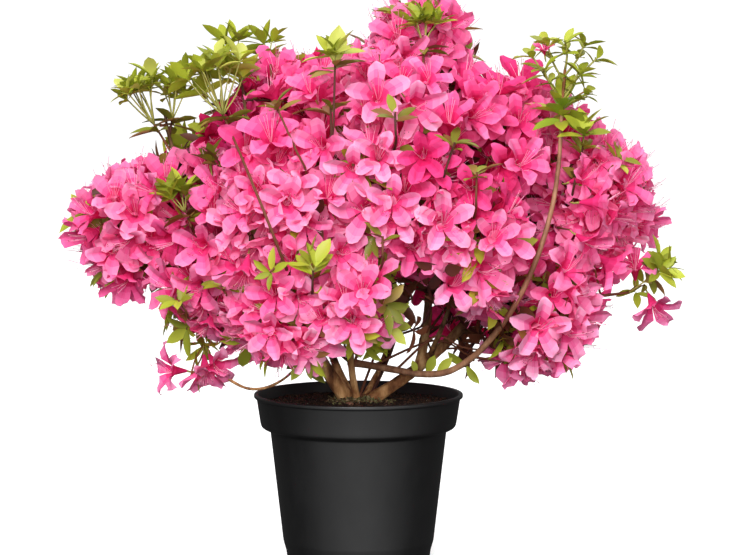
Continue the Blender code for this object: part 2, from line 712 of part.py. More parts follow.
def grow_mass(name, stem, obstacles):
    """The closed meshes of one mass: stem, twigs, flowers and leaves that all overlap their twig."""
    centre, half = SPACES[name]
    centre = Vector(centre)
    twigs = TWIG_COUNTS.get(name, TWIGS)
    blossom = BLOSSOM_SHARES.get(name, BLOSSOM_SHARE)
    outward = (centre - Vector(CROWN_MIDDLE)).normalized()
    rng = random.Random(f"{name} {SEED}")
    pieces = [tube(stem, (STEM_RADIUS, STEM_RADIUS, STEM_RADIUS), STEM_SIDES)]
    guards = []
    inward = (stem[0] - centre).normalized()
    places = [(out, None, rng.random() < blossom) for out in directions(twigs, outward, rng)]
    places.sort(key=lambda place: -place[0].dot(inward))
    places = [(outward, Vector(offset), False) for offset in LEADERS.get(name, ())] + places
    for index, (out, offset, flowering) in enumerate(places):
        share = TWIG_ROOT[0] + (TWIG_ROOT[1] - TWIG_ROOT[0]) * (index + 0.5) / len(places)
        root = along_points(stem, share)
        for attempt in range(TRIES):
            size = LARGEST_FLOWER + (SMALLEST_FLOWER - LARGEST_FLOWER) * attempt / TRIES
            stray = Vector([rng.uniform(-1, 1) for _ in range(3)]) * STRAY
            lean = (out + stray).normalized()
            front = Vector([lean[k] * half[k] for k in range(3)]) * rng.uniform(*REACH)
            tip = centre + (offset or front - lean * FLOWER_DEPTH * size)
            if not in_cell(name, tip):
                continue
            twig = clear_line(name, root, tip, obstacles, guards)
            if not twig:
                continue
            heading = (tip - root).normalized()
            if flowering:
                twig.free()
                blooms = grow_blossom(name, root, tip, heading, size, obstacles, guards, rng)
                if not blooms:
                    continue
                pieces.extend(blooms)
            else:
                pieces.append(twig)
            guards.append(twig_guard(root, tip))
            back = WHORL_BACK if flowering else 0.0
            count = rng.choice(WHORL) if flowering else SHOOT_WHORL
            rise = LEAF_RISE if flowering else SHOOT_RISE
            for foot, facing, roll, length in whorl(tip - heading * back, heading, count, rise, rng):
                blade = placed(leaf(length), foot, facing, Vector((1, 0, 0)), roll)
                add_blade(name, blade, foot, facing, obstacles, pieces, guards, offset is not None)
            break
    return pieces


def joined(name, pieces, look):
    """One solid from overlapping closed meshes, by a Boolean union on their collection."""
    group = bpy.data.collections.new(f"{name}_pieces")
    bpy.context.scene.collection.children.link(group)
    helpers = []
    for index, piece in enumerate(pieces[1:]):
        helper = add_object(f"{name}_piece_{index}", piece, look)
        bpy.context.collection.objects.unlink(helper)
        group.objects.link(helper)
        helpers.append(helper)
    whole = add_object(name, pieces[0], look)
    union = whole.modifiers.new("join", "BOOLEAN")
    union.operation = "UNION"
    union.operand_type = "COLLECTION"
    union.collection = group
    union.solver = "EXACT"
    with bpy.context.temp_override(object=whole, active_object=whole, selected_objects=[whole]):
        bpy.ops.object.modifier_apply(modifier="join")
    for helper in helpers:
        bpy.data.objects.remove(helper)
    bpy.data.collections.remove(group)
    keep_largest_body(whole.data)
    return whole


def keep_largest_body(data):
    """Fills sealed hollows and drops loose scraps: only the widest shell of faces stays."""
    mesh = bmesh.new()
    mesh.from_mesh(data)
    unseen = set(mesh.faces)
    shells = []
    while unseen:
        shell = [unseen.pop()]
        for face in shell:
            for edge in face.edges:
                for near in edge.link_faces:
                    if near in unseen:
                        unseen.remove(near)
                        shell.append(near)
        shells.append(shell)
    shells.sort(key=lambda shell: sum(face.calc_area() for face in shell))
    extra = [face for shell in shells[:-1] for face in shell]
    bmesh.ops.delete(mesh, geom=extra, context="FACES")
    mesh.to_mesh(data)
    mesh.free()


def grow_limbs(look, crown):
    """Every stem, fork and bough, each clear of those before it, and the limb that carries each mass."""
    limbs = {"root_crown": crown}
    foot_height = CROWN_FOOT + CROWN_SUNK * CROWN_HEIGHT
    for name, (heading, end, bow, foot, tip) in STEMS.items():
        turn = math.radians(heading)
        spot = CROWN_SPREAD * CROWN_TOP_RADIUS
        start = Vector((spot * math.cos(turn), spot * math.sin(turn), foot_height))
        limbs[name] = Limb(name, start, Vector(end), Vector(bow), foot, tip, list(limbs.values()), look)
    for name, (parent, share, end, bow, foot, tip) in FORKS.items():
        start = along_points(limbs[parent].points, share)
        limbs[name] = Limb(name, start, Vector(end), Vector(bow), foot, tip, list(limbs.values()), look)
    carriers = {}
    for name, (parent, share, bow) in BOUGHS.items():
        if bow is None:
            carriers[name] = limbs[parent]
            continue
        start = along_points(limbs[parent].points, share)
        centre, half = SPACES[name]
        centre = Vector(centre)
        inward = (start - centre).normalized()
        radius = 1 / math.sqrt(sum((inward[k] / half[k]) ** 2 for k in range(3)))
        end = centre + inward * radius * BOUGH_ENTERS
        foot = BOUGH_RADIUS + BOUGH_THICKENS * (end - start).length
        bough = f"{name}_bough"
        others = list(limbs.values())
        limbs[bough] = Limb(bough, start, end, Vector(bow), foot, BOUGH_TIP_RADIUS, others, look)
        carriers[name] = limbs[bough]
    return limbs, carriers


class Crown:
    """The root crown's surface, which the stems must clear like any limb."""

    def __init__(self, made):
        self.surface = BVHTree.FromObject(made, bpy.context.evaluated_depsgraph_get())
        self.keep_off = self.surface


def main():
    clear_scene()
    pot_look = material("pot_plastic", POT_BLACK, 0.42)
    soil_look = material("potting_soil", PEAT_BROWN, 0.95)
    bark_look = material("bark", BARK_BROWN, 0.80)
    bloom_look = material("blossom", BLOSSOM_PINK, 0.55)
    shoot_look = material("foliage", LEAF_GREEN, 0.50)

    make_pot(pot_look)
    make_soil(soil_look)
    crown = Crown(make_root_crown(bark_look))
    limbs, carriers = grow_limbs(bark_look, crown)
    keep_off = {name: limb.keep_off for name, limb in limbs.items()}
    stems = {name: mass_stem(name, carrier) for name, carrier in carriers.items()}
    for name, line in stems.items():
        kept_off = tube(line, [STEM_RADIUS + CLEARANCE] * len(line), STEM_SIDES)
        keep_off[name] = BVHTree.FromBMesh(kept_off)
        kept_off.free()
    for name, line in stems.items():
        obstacles = [tree for other, tree in keep_off.items() if other != name]
        pieces = grow_mass(name, line, obstacles)
        joined(name, pieces, bloom_look if BLOSSOM_SHARES.get(name, BLOSSOM_SHARE) else shoot_look)


if __name__ == "__main__":
    main()
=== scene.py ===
import math
import random

import bmesh
import bpy
import numpy as np
from mathutils import Matrix, Vector, noise
from mathutils.bvhtree import BVHTree


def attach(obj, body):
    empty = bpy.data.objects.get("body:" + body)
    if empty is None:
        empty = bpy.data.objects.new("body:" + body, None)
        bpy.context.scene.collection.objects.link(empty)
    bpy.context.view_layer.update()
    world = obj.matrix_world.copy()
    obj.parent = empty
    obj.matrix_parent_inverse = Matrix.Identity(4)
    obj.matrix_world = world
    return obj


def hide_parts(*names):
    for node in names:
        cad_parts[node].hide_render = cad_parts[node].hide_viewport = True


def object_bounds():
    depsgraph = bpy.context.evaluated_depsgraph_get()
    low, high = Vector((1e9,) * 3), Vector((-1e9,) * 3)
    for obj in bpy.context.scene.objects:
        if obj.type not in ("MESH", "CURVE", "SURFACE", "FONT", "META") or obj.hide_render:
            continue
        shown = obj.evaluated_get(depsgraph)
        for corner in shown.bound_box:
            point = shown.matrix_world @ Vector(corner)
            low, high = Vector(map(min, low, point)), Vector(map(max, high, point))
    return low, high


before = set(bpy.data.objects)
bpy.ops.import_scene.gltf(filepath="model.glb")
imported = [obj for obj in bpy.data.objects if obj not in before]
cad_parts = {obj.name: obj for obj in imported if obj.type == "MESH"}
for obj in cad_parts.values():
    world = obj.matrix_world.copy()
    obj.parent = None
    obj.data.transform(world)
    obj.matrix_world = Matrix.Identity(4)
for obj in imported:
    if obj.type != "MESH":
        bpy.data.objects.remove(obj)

bounds_at_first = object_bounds()


# The pot. A round nursery pot of black polypropylene, moulded in one piece: a rolled
# lip over a wide collar, a tapering wall and a stepped foot with six drain holes.
POT_HEIGHT = 0.150
POT_SIDES = 160
LIP_RADIUS = 0.0950
POT_PROFILE = [  # radius, height and rounding of each corner, from the underside round to the floor inside
    (0.0, 0.0, 0.0),
    (0.0240, 0.0, 0.0010),
    (0.0280, 0.0040, 0.0010),
    (0.0560, 0.0040, 0.0008),
    (0.0580, 0.0, 0.0006),
    (0.0650, 0.0, 0.0012),
    (0.0660, 0.0070, 0.0010),
    (0.0686, 0.0160, 0.0012),
    (0.0802, 0.1165, 0.0016),
    (0.0880, 0.1195, 0.0022),
    (0.0891, 0.1228, 0.0014),
    (0.0927, 0.1462, 0.0009),
    (0.0950, 0.1466, 0.0009),
    (0.0950, 0.1500, 0.0011),
    (0.0912, 0.1500, 0.0011),
    (0.0875, 0.1255, 0.0012),
    (0.0784, 0.1155, 0.0012),
    (0.0670, 0.0160, 0.0012),
    (0.0644, 0.0060, 0.0012),
    (0.0, 0.0060, 0.0),
]
CORNER_STEPS = 4
DRAIN_HOLES = 6
DRAIN_RADIUS = 0.0048
DRAIN_CIRCLE = 0.0420
DRAIN_SIDES = 24
DRAIN_PEG = 0.024
LIP_CREASE = 40
POT_BLACK = (0.0045, 0.0045, 0.0048)
POT_SHADES = [(0.0035, 0.0035, 0.0037), (0.0065, 0.0065, 0.0068)]
POT_ROUGHNESS = (0.36, 0.50)


def turned(profile, sides):
    """A solid of revolution about Z, each corner of its profile rounded by its own amount."""
    mesh = bmesh.new()
    corners = [mesh.verts.new((radius, 0.0, height)) for radius, height, _ in profile]
    for lower, upper in zip(corners, corners[1:]):
        mesh.edges.new((lower, upper))
    for rounding in sorted({row[2] for row in profile} - {0.0}):
        chosen = [vert for vert, row in zip(corners, profile) if row[2] == rounding]
        bmesh.ops.bevel(
            mesh, geom=chosen, offset=rounding, affect="VERTICES", segments=CORNER_STEPS, profile=0.5,
            material=-1,
        )
    bmesh.ops.spin(
        mesh, geom=mesh.verts[:] + mesh.edges[:], cent=(0, 0, 0), axis=(0, 0, 1), angle=math.tau,
        steps=sides, use_merge=True,
    )
    bmesh.ops.remove_doubles(mesh, verts=mesh.verts, dist=1e-6)
    bmesh.ops.recalc_face_normals(mesh, faces=mesh.faces[:])
    return mesh


def show(name, mesh, looks, slot, nodes=(), sharp=None):
    """Puts a finished mesh in the scene as a piece of the plant or its pot."""
    data = mesh
    if isinstance(mesh, bmesh.types.BMesh):
        data = bpy.data.meshes.new(name)
        mesh.to_mesh(data)
        mesh.free()
        data.shade_smooth()
        if sharp is not None:
            data.set_sharp_from_angle(angle=math.radians(sharp))
    for look in looks:
        data.materials.append(look)
    piece = bpy.data.objects.new(name, data)
    bpy.context.scene.collection.objects.link(piece)
    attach(piece, "root")
    if nodes:
        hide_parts(*nodes)
    return piece


def surface(name, colour, roughness, specular=0.5):
    """A plain material, and its shader for whatever is added to it."""
    look = bpy.data.materials.new(name)
    look.use_nodes = True
    shader = look.node_tree.nodes["Principled BSDF"]
    shader.inputs["Base Color"].default_value = (*colour, 1.0)
    shader.inputs["Roughness"].default_value = roughness
    shader.inputs["Specular IOR Level"].default_value = specular
    return look, shader


def grain(look, shader, scale, stretch, colours, stops, bump, depth, rough=None):
    """A noise pattern on object coordinates: it mixes the colours and lifts the surface a little."""
    tree = look.node_tree
    place = tree.nodes.new("ShaderNodeTexCoord")
    mapping = tree.nodes.new("ShaderNodeMapping")
    mapping.inputs["Scale"].default_value = stretch
    pattern = tree.nodes.new("ShaderNodeTexNoise")
    pattern.inputs["Scale"].default_value = scale
    pattern.inputs["Detail"].default_value = 6.0
    pattern.inputs["Roughness"].default_value = 0.62
    ramp = tree.nodes.new("ShaderNodeValToRGB")
    ramp.color_ramp.elements[0].position = stops[0]
    ramp.color_ramp.elements[0].color = (*colours[0], 1.0)
    ramp.color_ramp.elements[1].position = stops[-1]
    ramp.color_ramp.elements[1].color = (*colours[-1], 1.0)
    for stop, colour in zip(stops[1:-1], colours[1:-1]):
        ramp.color_ramp.elements.new(stop).color = (*colour, 1.0)
    lift = tree.nodes.new("ShaderNodeBump")
    lift.inputs["Strength"].default_value = bump
    lift.inputs["Distance"].default_value = depth
    link = tree.links.new
    link(place.outputs["Object"], mapping.inputs["Vector"])
    link(mapping.outputs["Vector"], pattern.inputs["Vector"])
    link(pattern.outputs["Fac"], ramp.inputs["Fac"])
    link(ramp.outputs["Color"], shader.inputs["Base Color"])
    link(pattern.outputs["Fac"], lift.inputs["Height"])
    link(lift.outputs["Normal"], shader.inputs["Normal"])
    if rough:
        spread = tree.nodes.new("ShaderNodeMapRange")
        spread.inputs["To Min"].default_value = rough[0]
        spread.inputs["To Max"].default_value = rough[1]
        link(pattern.outputs["Fac"], spread.inputs["Value"])
        link(spread.outputs["Result"], shader.inputs["Roughness"])


def cut_out(mesh, pegs):
    """Cuts the pegs out of a mesh with a Boolean, and returns the mesh that is left."""
    whole = bpy.data.objects.new("cut_whole", bpy.data.meshes.new("cut_whole"))
    tool = bpy.data.objects.new("cut_tool", bpy.data.meshes.new("cut_tool"))
    for item, source in ((whole, mesh), (tool, pegs)):
        source.to_mesh(item.data)
        source.free()
        bpy.context.scene.collection.objects.link(item)
    cut = whole.modifiers.new("cut", "BOOLEAN")
    cut.operation = "DIFFERENCE"
    cut.object = tool
    left = bmesh.new()
    left.from_object(whole, bpy.context.evaluated_depsgraph_get())
    for item in (whole, tool):
        bpy.data.objects.remove(item)
    return left


pegs = bmesh.new()
for index in range(DRAIN_HOLES):
    turn = math.tau * (index + 0.5) / DRAIN_HOLES
    peg = Matrix.Translation((DRAIN_CIRCLE * math.cos(turn), DRAIN_CIRCLE * math.sin(turn), 0.0))
    bmesh.ops.create_cone(
        pegs, cap_ends=True, segments=DRAIN_SIDES, radius1=DRAIN_RADIUS, radius2=DRAIN_RADIUS,
        depth=DRAIN_PEG, matrix=peg,
    )
pot_mesh = cut_out(turned(POT_PROFILE, POT_SIDES), pegs)
pot_look, pot_shader = surface("black_pot_plastic", POT_BLACK, roughness=0.46, specular=0.40)
grain(
    pot_look, pot_shader, scale=38, stretch=(1, 1, 0.5), colours=POT_SHADES, stops=(0.32, 0.72),
    bump=0.10, depth=0.0004, rough=POT_ROUGHNESS,
)
show("nursery_pot", pot_mesh, [pot_look], "pot_plastic", ["pot"], sharp=LIP_CREASE)


# The soil. Dark moist peat with crumbs, fibres and a few pale grains, filled to a
# finger under the lip and mounded up a little towards the stems.
SOIL_EDGE = 0.1400
SOIL_MOUND = 0.0035
SOIL_FLAT = 0.0270
SOIL_RADIUS = 0.0888
SOIL_RINGS = 44
SOIL_SIDES = 168
SOIL_CREASE = 70
CRUMBS = 2600
CRUMB_SIZES = (0.0006, 0.0022)
CHIPS = 260
CHIP_SIZES = (0.0006, 0.0014)
GRAINS = 90
GRAIN_SIZES = (0.0004, 0.0008)
PEAT = (0.030, 0.013, 0.008)
PEAT_SHADES = [(0.010, 0.005, 0.004), PEAT, (0.085, 0.040, 0.022)]
PEAT_TINTS = [(0.016, 0.008, 0.006), (0.036, 0.016, 0.010), (0.060, 0.026, 0.014), (0.110, 0.055, 0.030)]
GRAIN_PALE = (0.42, 0.38, 0.32)


def soil_height(x, y):
    """The height of the peat's surface over a point of the pot."""
    away = math.hypot(x, y)
    slope = min(max((SOIL_RADIUS - away) / (SOIL_RADIUS - SOIL_FLAT), 0.0), 1.0)
    spot = Vector((x, y, 0.0))
    coarse = 0.0016 * noise.noise(spot * 55)
    fine = 0.0011 * noise.noise(spot * 210 + Vector((7, 3, 1))) + 0.0006 * noise.noise(spot * 620)
    return SOIL_EDGE + SOIL_MOUND * slope + coarse + fine - 0.0007


def soil_body():
    """The peat in the pot: its sides follow the wall, and its top has relief."""
    profile = [(0.0, 0.0063), (0.0638, 0.0063), (0.0665, 0.0160), (0.0778, 0.1155), (0.0868, 0.1255)]
    reach = [SOIL_RADIUS * (1 - (ring / SOIL_RINGS) ** 1.15) for ring in range(SOIL_RINGS + 1)]
    profile += [(radius, SOIL_EDGE) for radius in reach]
    mesh = turned([(radius, height, 0.0) for radius, height in profile], SOIL_SIDES)
    for vert in mesh.verts:
        if vert.co.z > SOIL_EDGE - 1e-6:
            vert.co.z = soil_height(vert.co.x, vert.co.y)
    return mesh


def lump(rng, wide, long, sides=1):
    """A small uneven lump of peat, bark or grit."""
    mesh = bmesh.new()
    bmesh.ops.create_icosphere(mesh, subdivisions=sides, radius=1.0)
    for vert in mesh.verts:
        vert.co *= rng.uniform(0.72, 1.15)
        vert.co = Vector((vert.co.x * long, vert.co.y * wide, vert.co.z * wide * 0.7))
    return mesh


def arrays_of(mesh):
    """A bmesh as arrays: its corners, and its faces as lists of corner numbers."""
    mesh.verts.index_update()
    verts = np.array([vert.co[:] for vert in mesh.verts])
    faces = [[vert.index for vert in face.verts] for face in mesh.faces]
    looks = np.array([face.material_index for face in mesh.faces], np.int32)
    mesh.free()
    sizes = np.array([len(face) for face in faces], np.int32)
    corners = np.array([corner for face in faces for corner in face], np.int32)
    return verts, corners, sizes, looks


UNTURNED = Matrix.Identity(3)


class Sprays:
    """Many small like pieces, gathered as arrays until they are joined into one mesh."""

    def __init__(self):
        self.verts = []
        self.corners = []
        self.sizes = []
        self.looks = []
        self.count = 0
        self.triangles = 0

    def add(self, shape, turn=UNTURNED, place=(0, 0, 0), size=1.0, look=None):
        """Adds one shape, turned, sized and put in its place."""
        verts, corners, sizes, looks = shape
        self.verts.append(verts @ (np.array(turn).T * size) + np.array(place))
        self.corners.append(corners + self.count)
        self.sizes.append(sizes)
        if look is not None:
            looks = np.full(len(sizes), look, np.int32)
        self.looks.append(looks)
        self.count += len(verts)
        self.triangles += int((sizes - 2).sum())

    def take(self, other):
        """Adds all that another spray holds."""
        for verts, corners in zip(other.verts, other.corners):
            self.verts.append(verts)
            self.corners.append(corners + self.count)
        self.sizes += other.sizes
        self.looks += other.looks
        self.count += other.count
        self.triangles += other.triangles

    def mesh(self, name):
        """All that has been added, as one mesh."""
        data = bpy.data.meshes.new(name)
        verts = np.concatenate(self.verts)
        corners = np.concatenate(self.corners)
        sizes = np.concatenate(self.sizes)
        data.vertices.add(len(verts))
        data.vertices.foreach_set("co", verts.astype(np.float32).ravel())
        data.loops.add(len(corners))
        data.loops.foreach_set("vertex_index", corners.astype(np.int32))
        data.polygons.add(len(sizes))
        starts = np.concatenate([[0], np.cumsum(sizes)[:-1]])
        data.polygons.foreach_set("loop_start", starts.astype(np.int32))
        data.polygons.foreach_set("material_index", np.concatenate(self.looks).astype(np.int32))
        data.update(calc_edges=True)
        data.shade_smooth()
        return data


soil_look, soil_shader = surface("moist_peat", PEAT, roughness=0.92, specular=0.25)
grain(
    soil_look, soil_shader, scale=420, stretch=(1, 1, 1), colours=PEAT_SHADES, stops=(0.30, 0.52, 0.80),
    bump=0.9, depth=0.0012,
)
show("potting_soil", soil_body(), [soil_look], "potting_soil", ["soil"], sharp=SOIL_CREASE)

rng = random.Random("crumbs")
crumb_shapes = [arrays_of(lump(rng, 1.0, rng.uniform(1.0, 1.5))) for _ in range(8)]
chip_shapes = [arrays_of(lump(rng, 0.5, rng.uniform(2.4, 4.6))) for _ in range(6)]
crumbs = Sprays()


def strewn(shapes, count, sizes, looks, inside):
    """Lumps of one kind strewn over the peat at random, each bedded in it by half."""
    for _ in range(count):
        away = (SOIL_RADIUS - 0.002) * math.sqrt(rng.uniform(inside, 1.0))
        turn = rng.uniform(0, math.tau)
        x, y = away * math.cos(turn), away * math.sin(turn)
        size = rng.uniform(*sizes) * rng.uniform(0.6, 1.0)
        spin = Matrix.Rotation(rng.uniform(0, math.tau), 3, "Z")
        tumble = spin @ Matrix.Rotation(rng.gauss(0, 0.35), 3, "Y")
        place = (x, y, soil_height(x, y) + size * 0.25)
        crumbs.add(rng.choice(shapes), tumble, place, size, rng.choice(looks))


strewn(crumb_shapes, CRUMBS, CRUMB_SIZES, looks=(0, 0, 1, 1, 2), inside=0.03)
strewn(chip_shapes, CHIPS, CHIP_SIZES, looks=(1, 2, 2, 3), inside=0.05)
strewn(crumb_shapes, GRAINS, GRAIN_SIZES, looks=(len(PEAT_TINTS),), inside=0.05)
crumb_looks = []
for index, tint in enumerate(PEAT_TINTS):
    crumb_looks.append(surface(f"peat_crumb_{index}", tint, roughness=0.9, specular=0.25)[0])
crumb_looks.append(surface("pale_grain", GRAIN_PALE, roughness=0.8, specular=0.3)[0])
show("soil_crumbs", crumbs.mesh("soil_crumbs"), crumb_looks, "potting_soil")


# The root crown and the stems. One clump of woody stems that spring from a low lobed
# crown, grown together at their feet, with dark reddish-brown bark that flakes to tan.
CROWN_FOOT = SOIL_EDGE + SOIL_MOUND + 0.0003
CROWN_HEIGHT = 0.0045
CROWN_FLARE_RADIUS = 0.0215
CROWN_TOP_RADIUS = 0.0120
CROWN_LOBES = 5
CROWN_LOBE_DEPTH = 0.14
CROWN_LOBE_TURN = 0.6
STEM_SPREAD = 0.0085
STEM_FOOT = 0.1425
RING_STEP = 0.034
WANDER = 0.012
STEM_RING = 0.0030
STEM_SIDES = 18
STEM_VOXEL = 0.00085
STEM_SMOOTHINGS = 2
FORK_FLARE = 0.18
FLAKES_ACROSS = 210
FLAKES_ALONG = 52
KNOTS = 62
STEM_RELIEF = 0.00042
# painted shade: the bark darkens upwards under the crown, where the crown's shadow falls
BARK_PAINTED_SHADE = (0.168, 0.215, 0.22)  # the heights between which the bark darkens, and how dark it gets
BARK = (0.19, 0.09, 0.045)
BARK_COLOURS = [(0.060, 0.020, 0.009), (0.260, 0.105, 0.040), (0.520, 0.265, 0.105), (0.820, 0.520, 0.240)]
BARK_STOPS = (0.32, 0.44, 0.55, 0.69)
STEMS = {  # heading on the root crown in degrees, end, bow, foot radius, tip radius
    "stem_left": (188, (-0.072, -0.012, 0.262), (-0.006, -0.004, -0.002), 0.0068, 0.0044),
    "stem_right": (-14, (0.110, -0.006, 0.232), (0.004, 0.000, -0.006), 0.0058, 0.0042),
    "stem_front": (262, (-0.010, -0.044, 0.268), (-0.003, -0.008, 0.000), 0.0034, 0.0028),
    "stem_back_left": (128, (-0.052, 0.072, 0.258), (-0.002, 0.006, -0.004), 0.0042, 0.0032),
    "stem_back_right": (52, (0.052, 0.082, 0.262), (0.004, 0.006, -0.006), 0.0042, 0.0032),
}
FORKS = {  # parent, how far along it, end, bow, foot radius, tip radius
    "stem_upright": ("stem_right", 0.42, (0.066, 0.006, 0.312), (0.004, 0.006, -0.010), 0.0042, 0.0034),
    "bowed_bough_foot": ("stem_front", 0.16, (0.080, -0.052, 0.171), (0, -0.010, -0.008), 0.0034, 0.0030),
    "bowed_bough_rise": (
        "bowed_bough_foot", 1.0, (0.180, -0.060, 0.406), (0.022, -0.008, -0.022), 0.0029, 0.0018,
    ),
}


def bowed(start, end, bow, name):
    """Points from start to end along a bow, wandering a little like a grown limb."""
    rng = random.Random(name)
    length = (end - start).length
    steps = max(3, round(length / RING_STEP))
    control = (start + end) / 2 + 2 * bow
    points = []
    for step in range(steps + 1):
        t = step / steps
        point = start * (1 - t) ** 2 + control * (2 * t * (1 - t)) + end * t ** 2
        if 0 < step < steps:
            stray = Vector([rng.uniform(-1, 1) for _ in range(3)])
            point = point + stray * WANDER * length * 0.5
        points.append(point)
    return points


def along_points(points, share):
    """The point a given share of the way along a line of points."""
    place = share * (len(points) - 1)
    step = min(int(place), len(points) - 2)
    return points[step].lerp(points[step + 1], place - step)


def smoothed(points, ring):
    """The same line as a smooth curve, with a point at about every ring's length."""
    ends = [points[0] * 2 - points[1]] + list(points) + [points[-1] * 2 - points[-2]]
    line = []
    for before, start, end, after in zip(ends, ends[1:], ends[2:], ends[3:]):
        steps = max(2, round((end - start).length / ring))
        for step in range(steps):
            t = step / steps
            bend = (end - before) * t + (before * 2 - start * 5 + end * 4 - after) * t ** 2
            bend += (start * 3 - before - end * 3 + after) * t ** 3
            line.append(start + bend * 0.5)
    line.append(points[-1])
    return line


def tube(line, radii, sides, caps=True):
    """A closed round tube along a line, as arrays."""
    line = np.array([point[:] for point in line])
    count = len(line)
    along = np.gradient(line, axis=0)
    along /= np.linalg.norm(along, axis=1)[:, None]
    across = np.cross(along[0], (0.31, 0.17, 0.93))
    across /= np.linalg.norm(across)
    turns = np.arange(sides) * math.tau / sides
    rings = np.empty((count, sides, 3))
    for index in range(count):
        across = across - along[index] * (across @ along[index])
        across /= np.linalg.norm(across)
        beside = np.cross(along[index], across)
        ring = np.outer(np.cos(turns), across) + np.outer(np.sin(turns), beside)
        rings[index] = line[index] + ring * radii[index]
    here = np.arange(count - 1)[:, None] * sides + np.arange(sides)
    after = np.arange(count - 1)[:, None] * sides + (np.arange(sides) + 1) % sides
    quads = np.stack([here, after, after + sides, here + sides], -1).reshape(-1)
    sizes = np.full((count - 1) * sides, 4, np.int32)
    if caps:
        first = np.arange(sides)[::-1]
        last = np.arange(sides) + (count - 1) * sides
        quads = np.concatenate([quads, first, last])
        sizes = np.concatenate([sizes, [sides, sides]]).astype(np.int32)
    return rings.reshape(-1, 3), quads.astype(np.int32), sizes, np.zeros(len(sizes), np.int32)


def limb_radii(line, foot, tip, flare):
    """Taper from foot to tip, with a flare over the first centimetre where the limb joins on."""
    gone = 0.0
    lengths = [0.0]
    for start, end in zip(line, line[1:]):
        gone += (end - start).length
        lengths.append(gone)
    flared = []
    for length in lengths:
        plain = foot + (tip - foot) * length / gone
        flared.append(plain * (1 + flare * math.exp(-(length / (2.4 * foot)) ** 2)))
    return flared


def root_crown():
    """The low lobed crown that the stems spring from."""
    mesh = bmesh.new()
    bmesh.ops.create_uvsphere(mesh, u_segments=48, v_segments=20, radius=1.0)
    for vert in mesh.verts:
        height = (vert.co.z + 1) / 2
        turn = math.atan2(vert.co.y, vert.co.x)
        flare = (1.0 - height) ** 2
        lobe = 1.0 + CROWN_LOBE_DEPTH * flare * math.cos(CROWN_LOBES * turn + CROWN_LOBE_TURN)
        widest = CROWN_TOP_RADIUS + (CROWN_FLARE_RADIUS - CROWN_TOP_RADIUS) * flare
        radius = widest * lobe * math.sqrt(max(1 - vert.co.z ** 2, 0)) ** 0.55
        tall = CROWN_FOOT - 0.0015 + (CROWN_HEIGHT + 0.0015) * height
        vert.co = (radius * math.cos(turn), radius * math.sin(turn), tall)
    return arrays_of(mesh)


def bark_relief(mesh, deep):
    """Lifts long flakes and sinks cracks along the grain of a limb's surface."""
    mesh.normal_update()
    for vert in mesh.verts:
        spot = Vector((vert.co.x * FLAKES_ACROSS, vert.co.y * FLAKES_ACROSS, vert.co.z * FLAKES_ALONG))
        flake = noise.noise(spot) + 0.5 * noise.noise(spot * 2.3)
        knot = noise.noise(vert.co * KNOTS)
        vert.co += vert.normal * deep * (0.75 * flake + 0.9 * knot)


stem_parts = Sprays()
stem_parts.add(root_crown())
lines = {}
reaches = {}
for name, (heading, end, bow, foot, tip) in STEMS.items():
    turn = math.radians(heading)
    start = Vector((STEM_SPREAD * math.cos(turn), STEM_SPREAD * math.sin(turn), STEM_FOOT))
    lines[name] = bowed(start, Vector(end), Vector(bow), name)
    reaches[name] = (foot, tip)
for name, (parent, share, end, bow, foot, tip) in FORKS.items():
    start = along_points(lines[parent], share)
    lines[name] = bowed(start, Vector(end), Vector(bow), name)
    reaches[name] = (foot, tip)
for name in (*STEMS, "stem_upright"):
    curve = smoothed(lines[name], STEM_RING)
    stem_parts.add(tube(curve, limb_radii(curve, *reaches[name], FORK_FLARE), STEM_SIDES))
bulk = bpy.data.objects.new("stem_bulk", stem_parts.mesh("stem_bulk"))
bpy.context.scene.collection.objects.link(bulk)
grown = bulk.modifiers.new("grown_together", "REMESH")
grown.mode = "VOXEL"
grown.voxel_size = STEM_VOXEL
stems = bmesh.new()
stems.from_object(bulk, bpy.context.evaluated_depsgraph_get())
bpy.data.objects.remove(bulk)
for _ in range(STEM_SMOOTHINGS):
    bmesh.ops.smooth_vert(
        stems, verts=stems.verts, factor=0.5, use_axis_x=True, use_axis_y=True, use_axis_z=True,
    )
bark_relief(stems, STEM_RELIEF)
bark_look, bark_shader = surface("flaking_bark", BARK, roughness=0.82, specular=0.3)
grain(
    bark_look, bark_shader, scale=95, stretch=(1, 1, 0.28), colours=BARK_COLOURS, stops=BARK_STOPS,
    bump=0.8, depth=0.0010,
)


def painted_shade_upwards(look, shader, low, high, least):
    """Darkens a material from one height to another: painted shade where the crown shades the bark beneath
    it.
    """
    tree = look.node_tree
    pattern = shader.inputs["Base Color"].links[0].from_socket
    place = tree.nodes.new("ShaderNodeTexCoord")
    split = tree.nodes.new("ShaderNodeSeparateXYZ")
    fade = tree.nodes.new("ShaderNodeMapRange")
    fade.inputs["From Min"].default_value = low
    fade.inputs["From Max"].default_value = high
    fade.inputs["To Min"].default_value = 1.0
    fade.inputs["To Max"].default_value = least
    shade = tree.nodes.new("ShaderNodeVectorMath")
    shade.operation = "SCALE"
    link = tree.links.new
    link(place.outputs["Object"], split.inputs["Vector"])
    link(split.outputs["Z"], fade.inputs["Value"])
    link(pattern, shade.inputs[0])
    link(fade.outputs["Result"], shade.inputs["Scale"])
    link(shade.outputs["Vector"], shader.inputs["Base Color"])


# painted shade on the bark of the stems and boughs under the crown
painted_shade_upwards(bark_look, bark_shader, *BARK_PAINTED_SHADE)
show("stems", stems, [bark_look], "bark", ["root_crown", *STEMS, "stem_upright"])


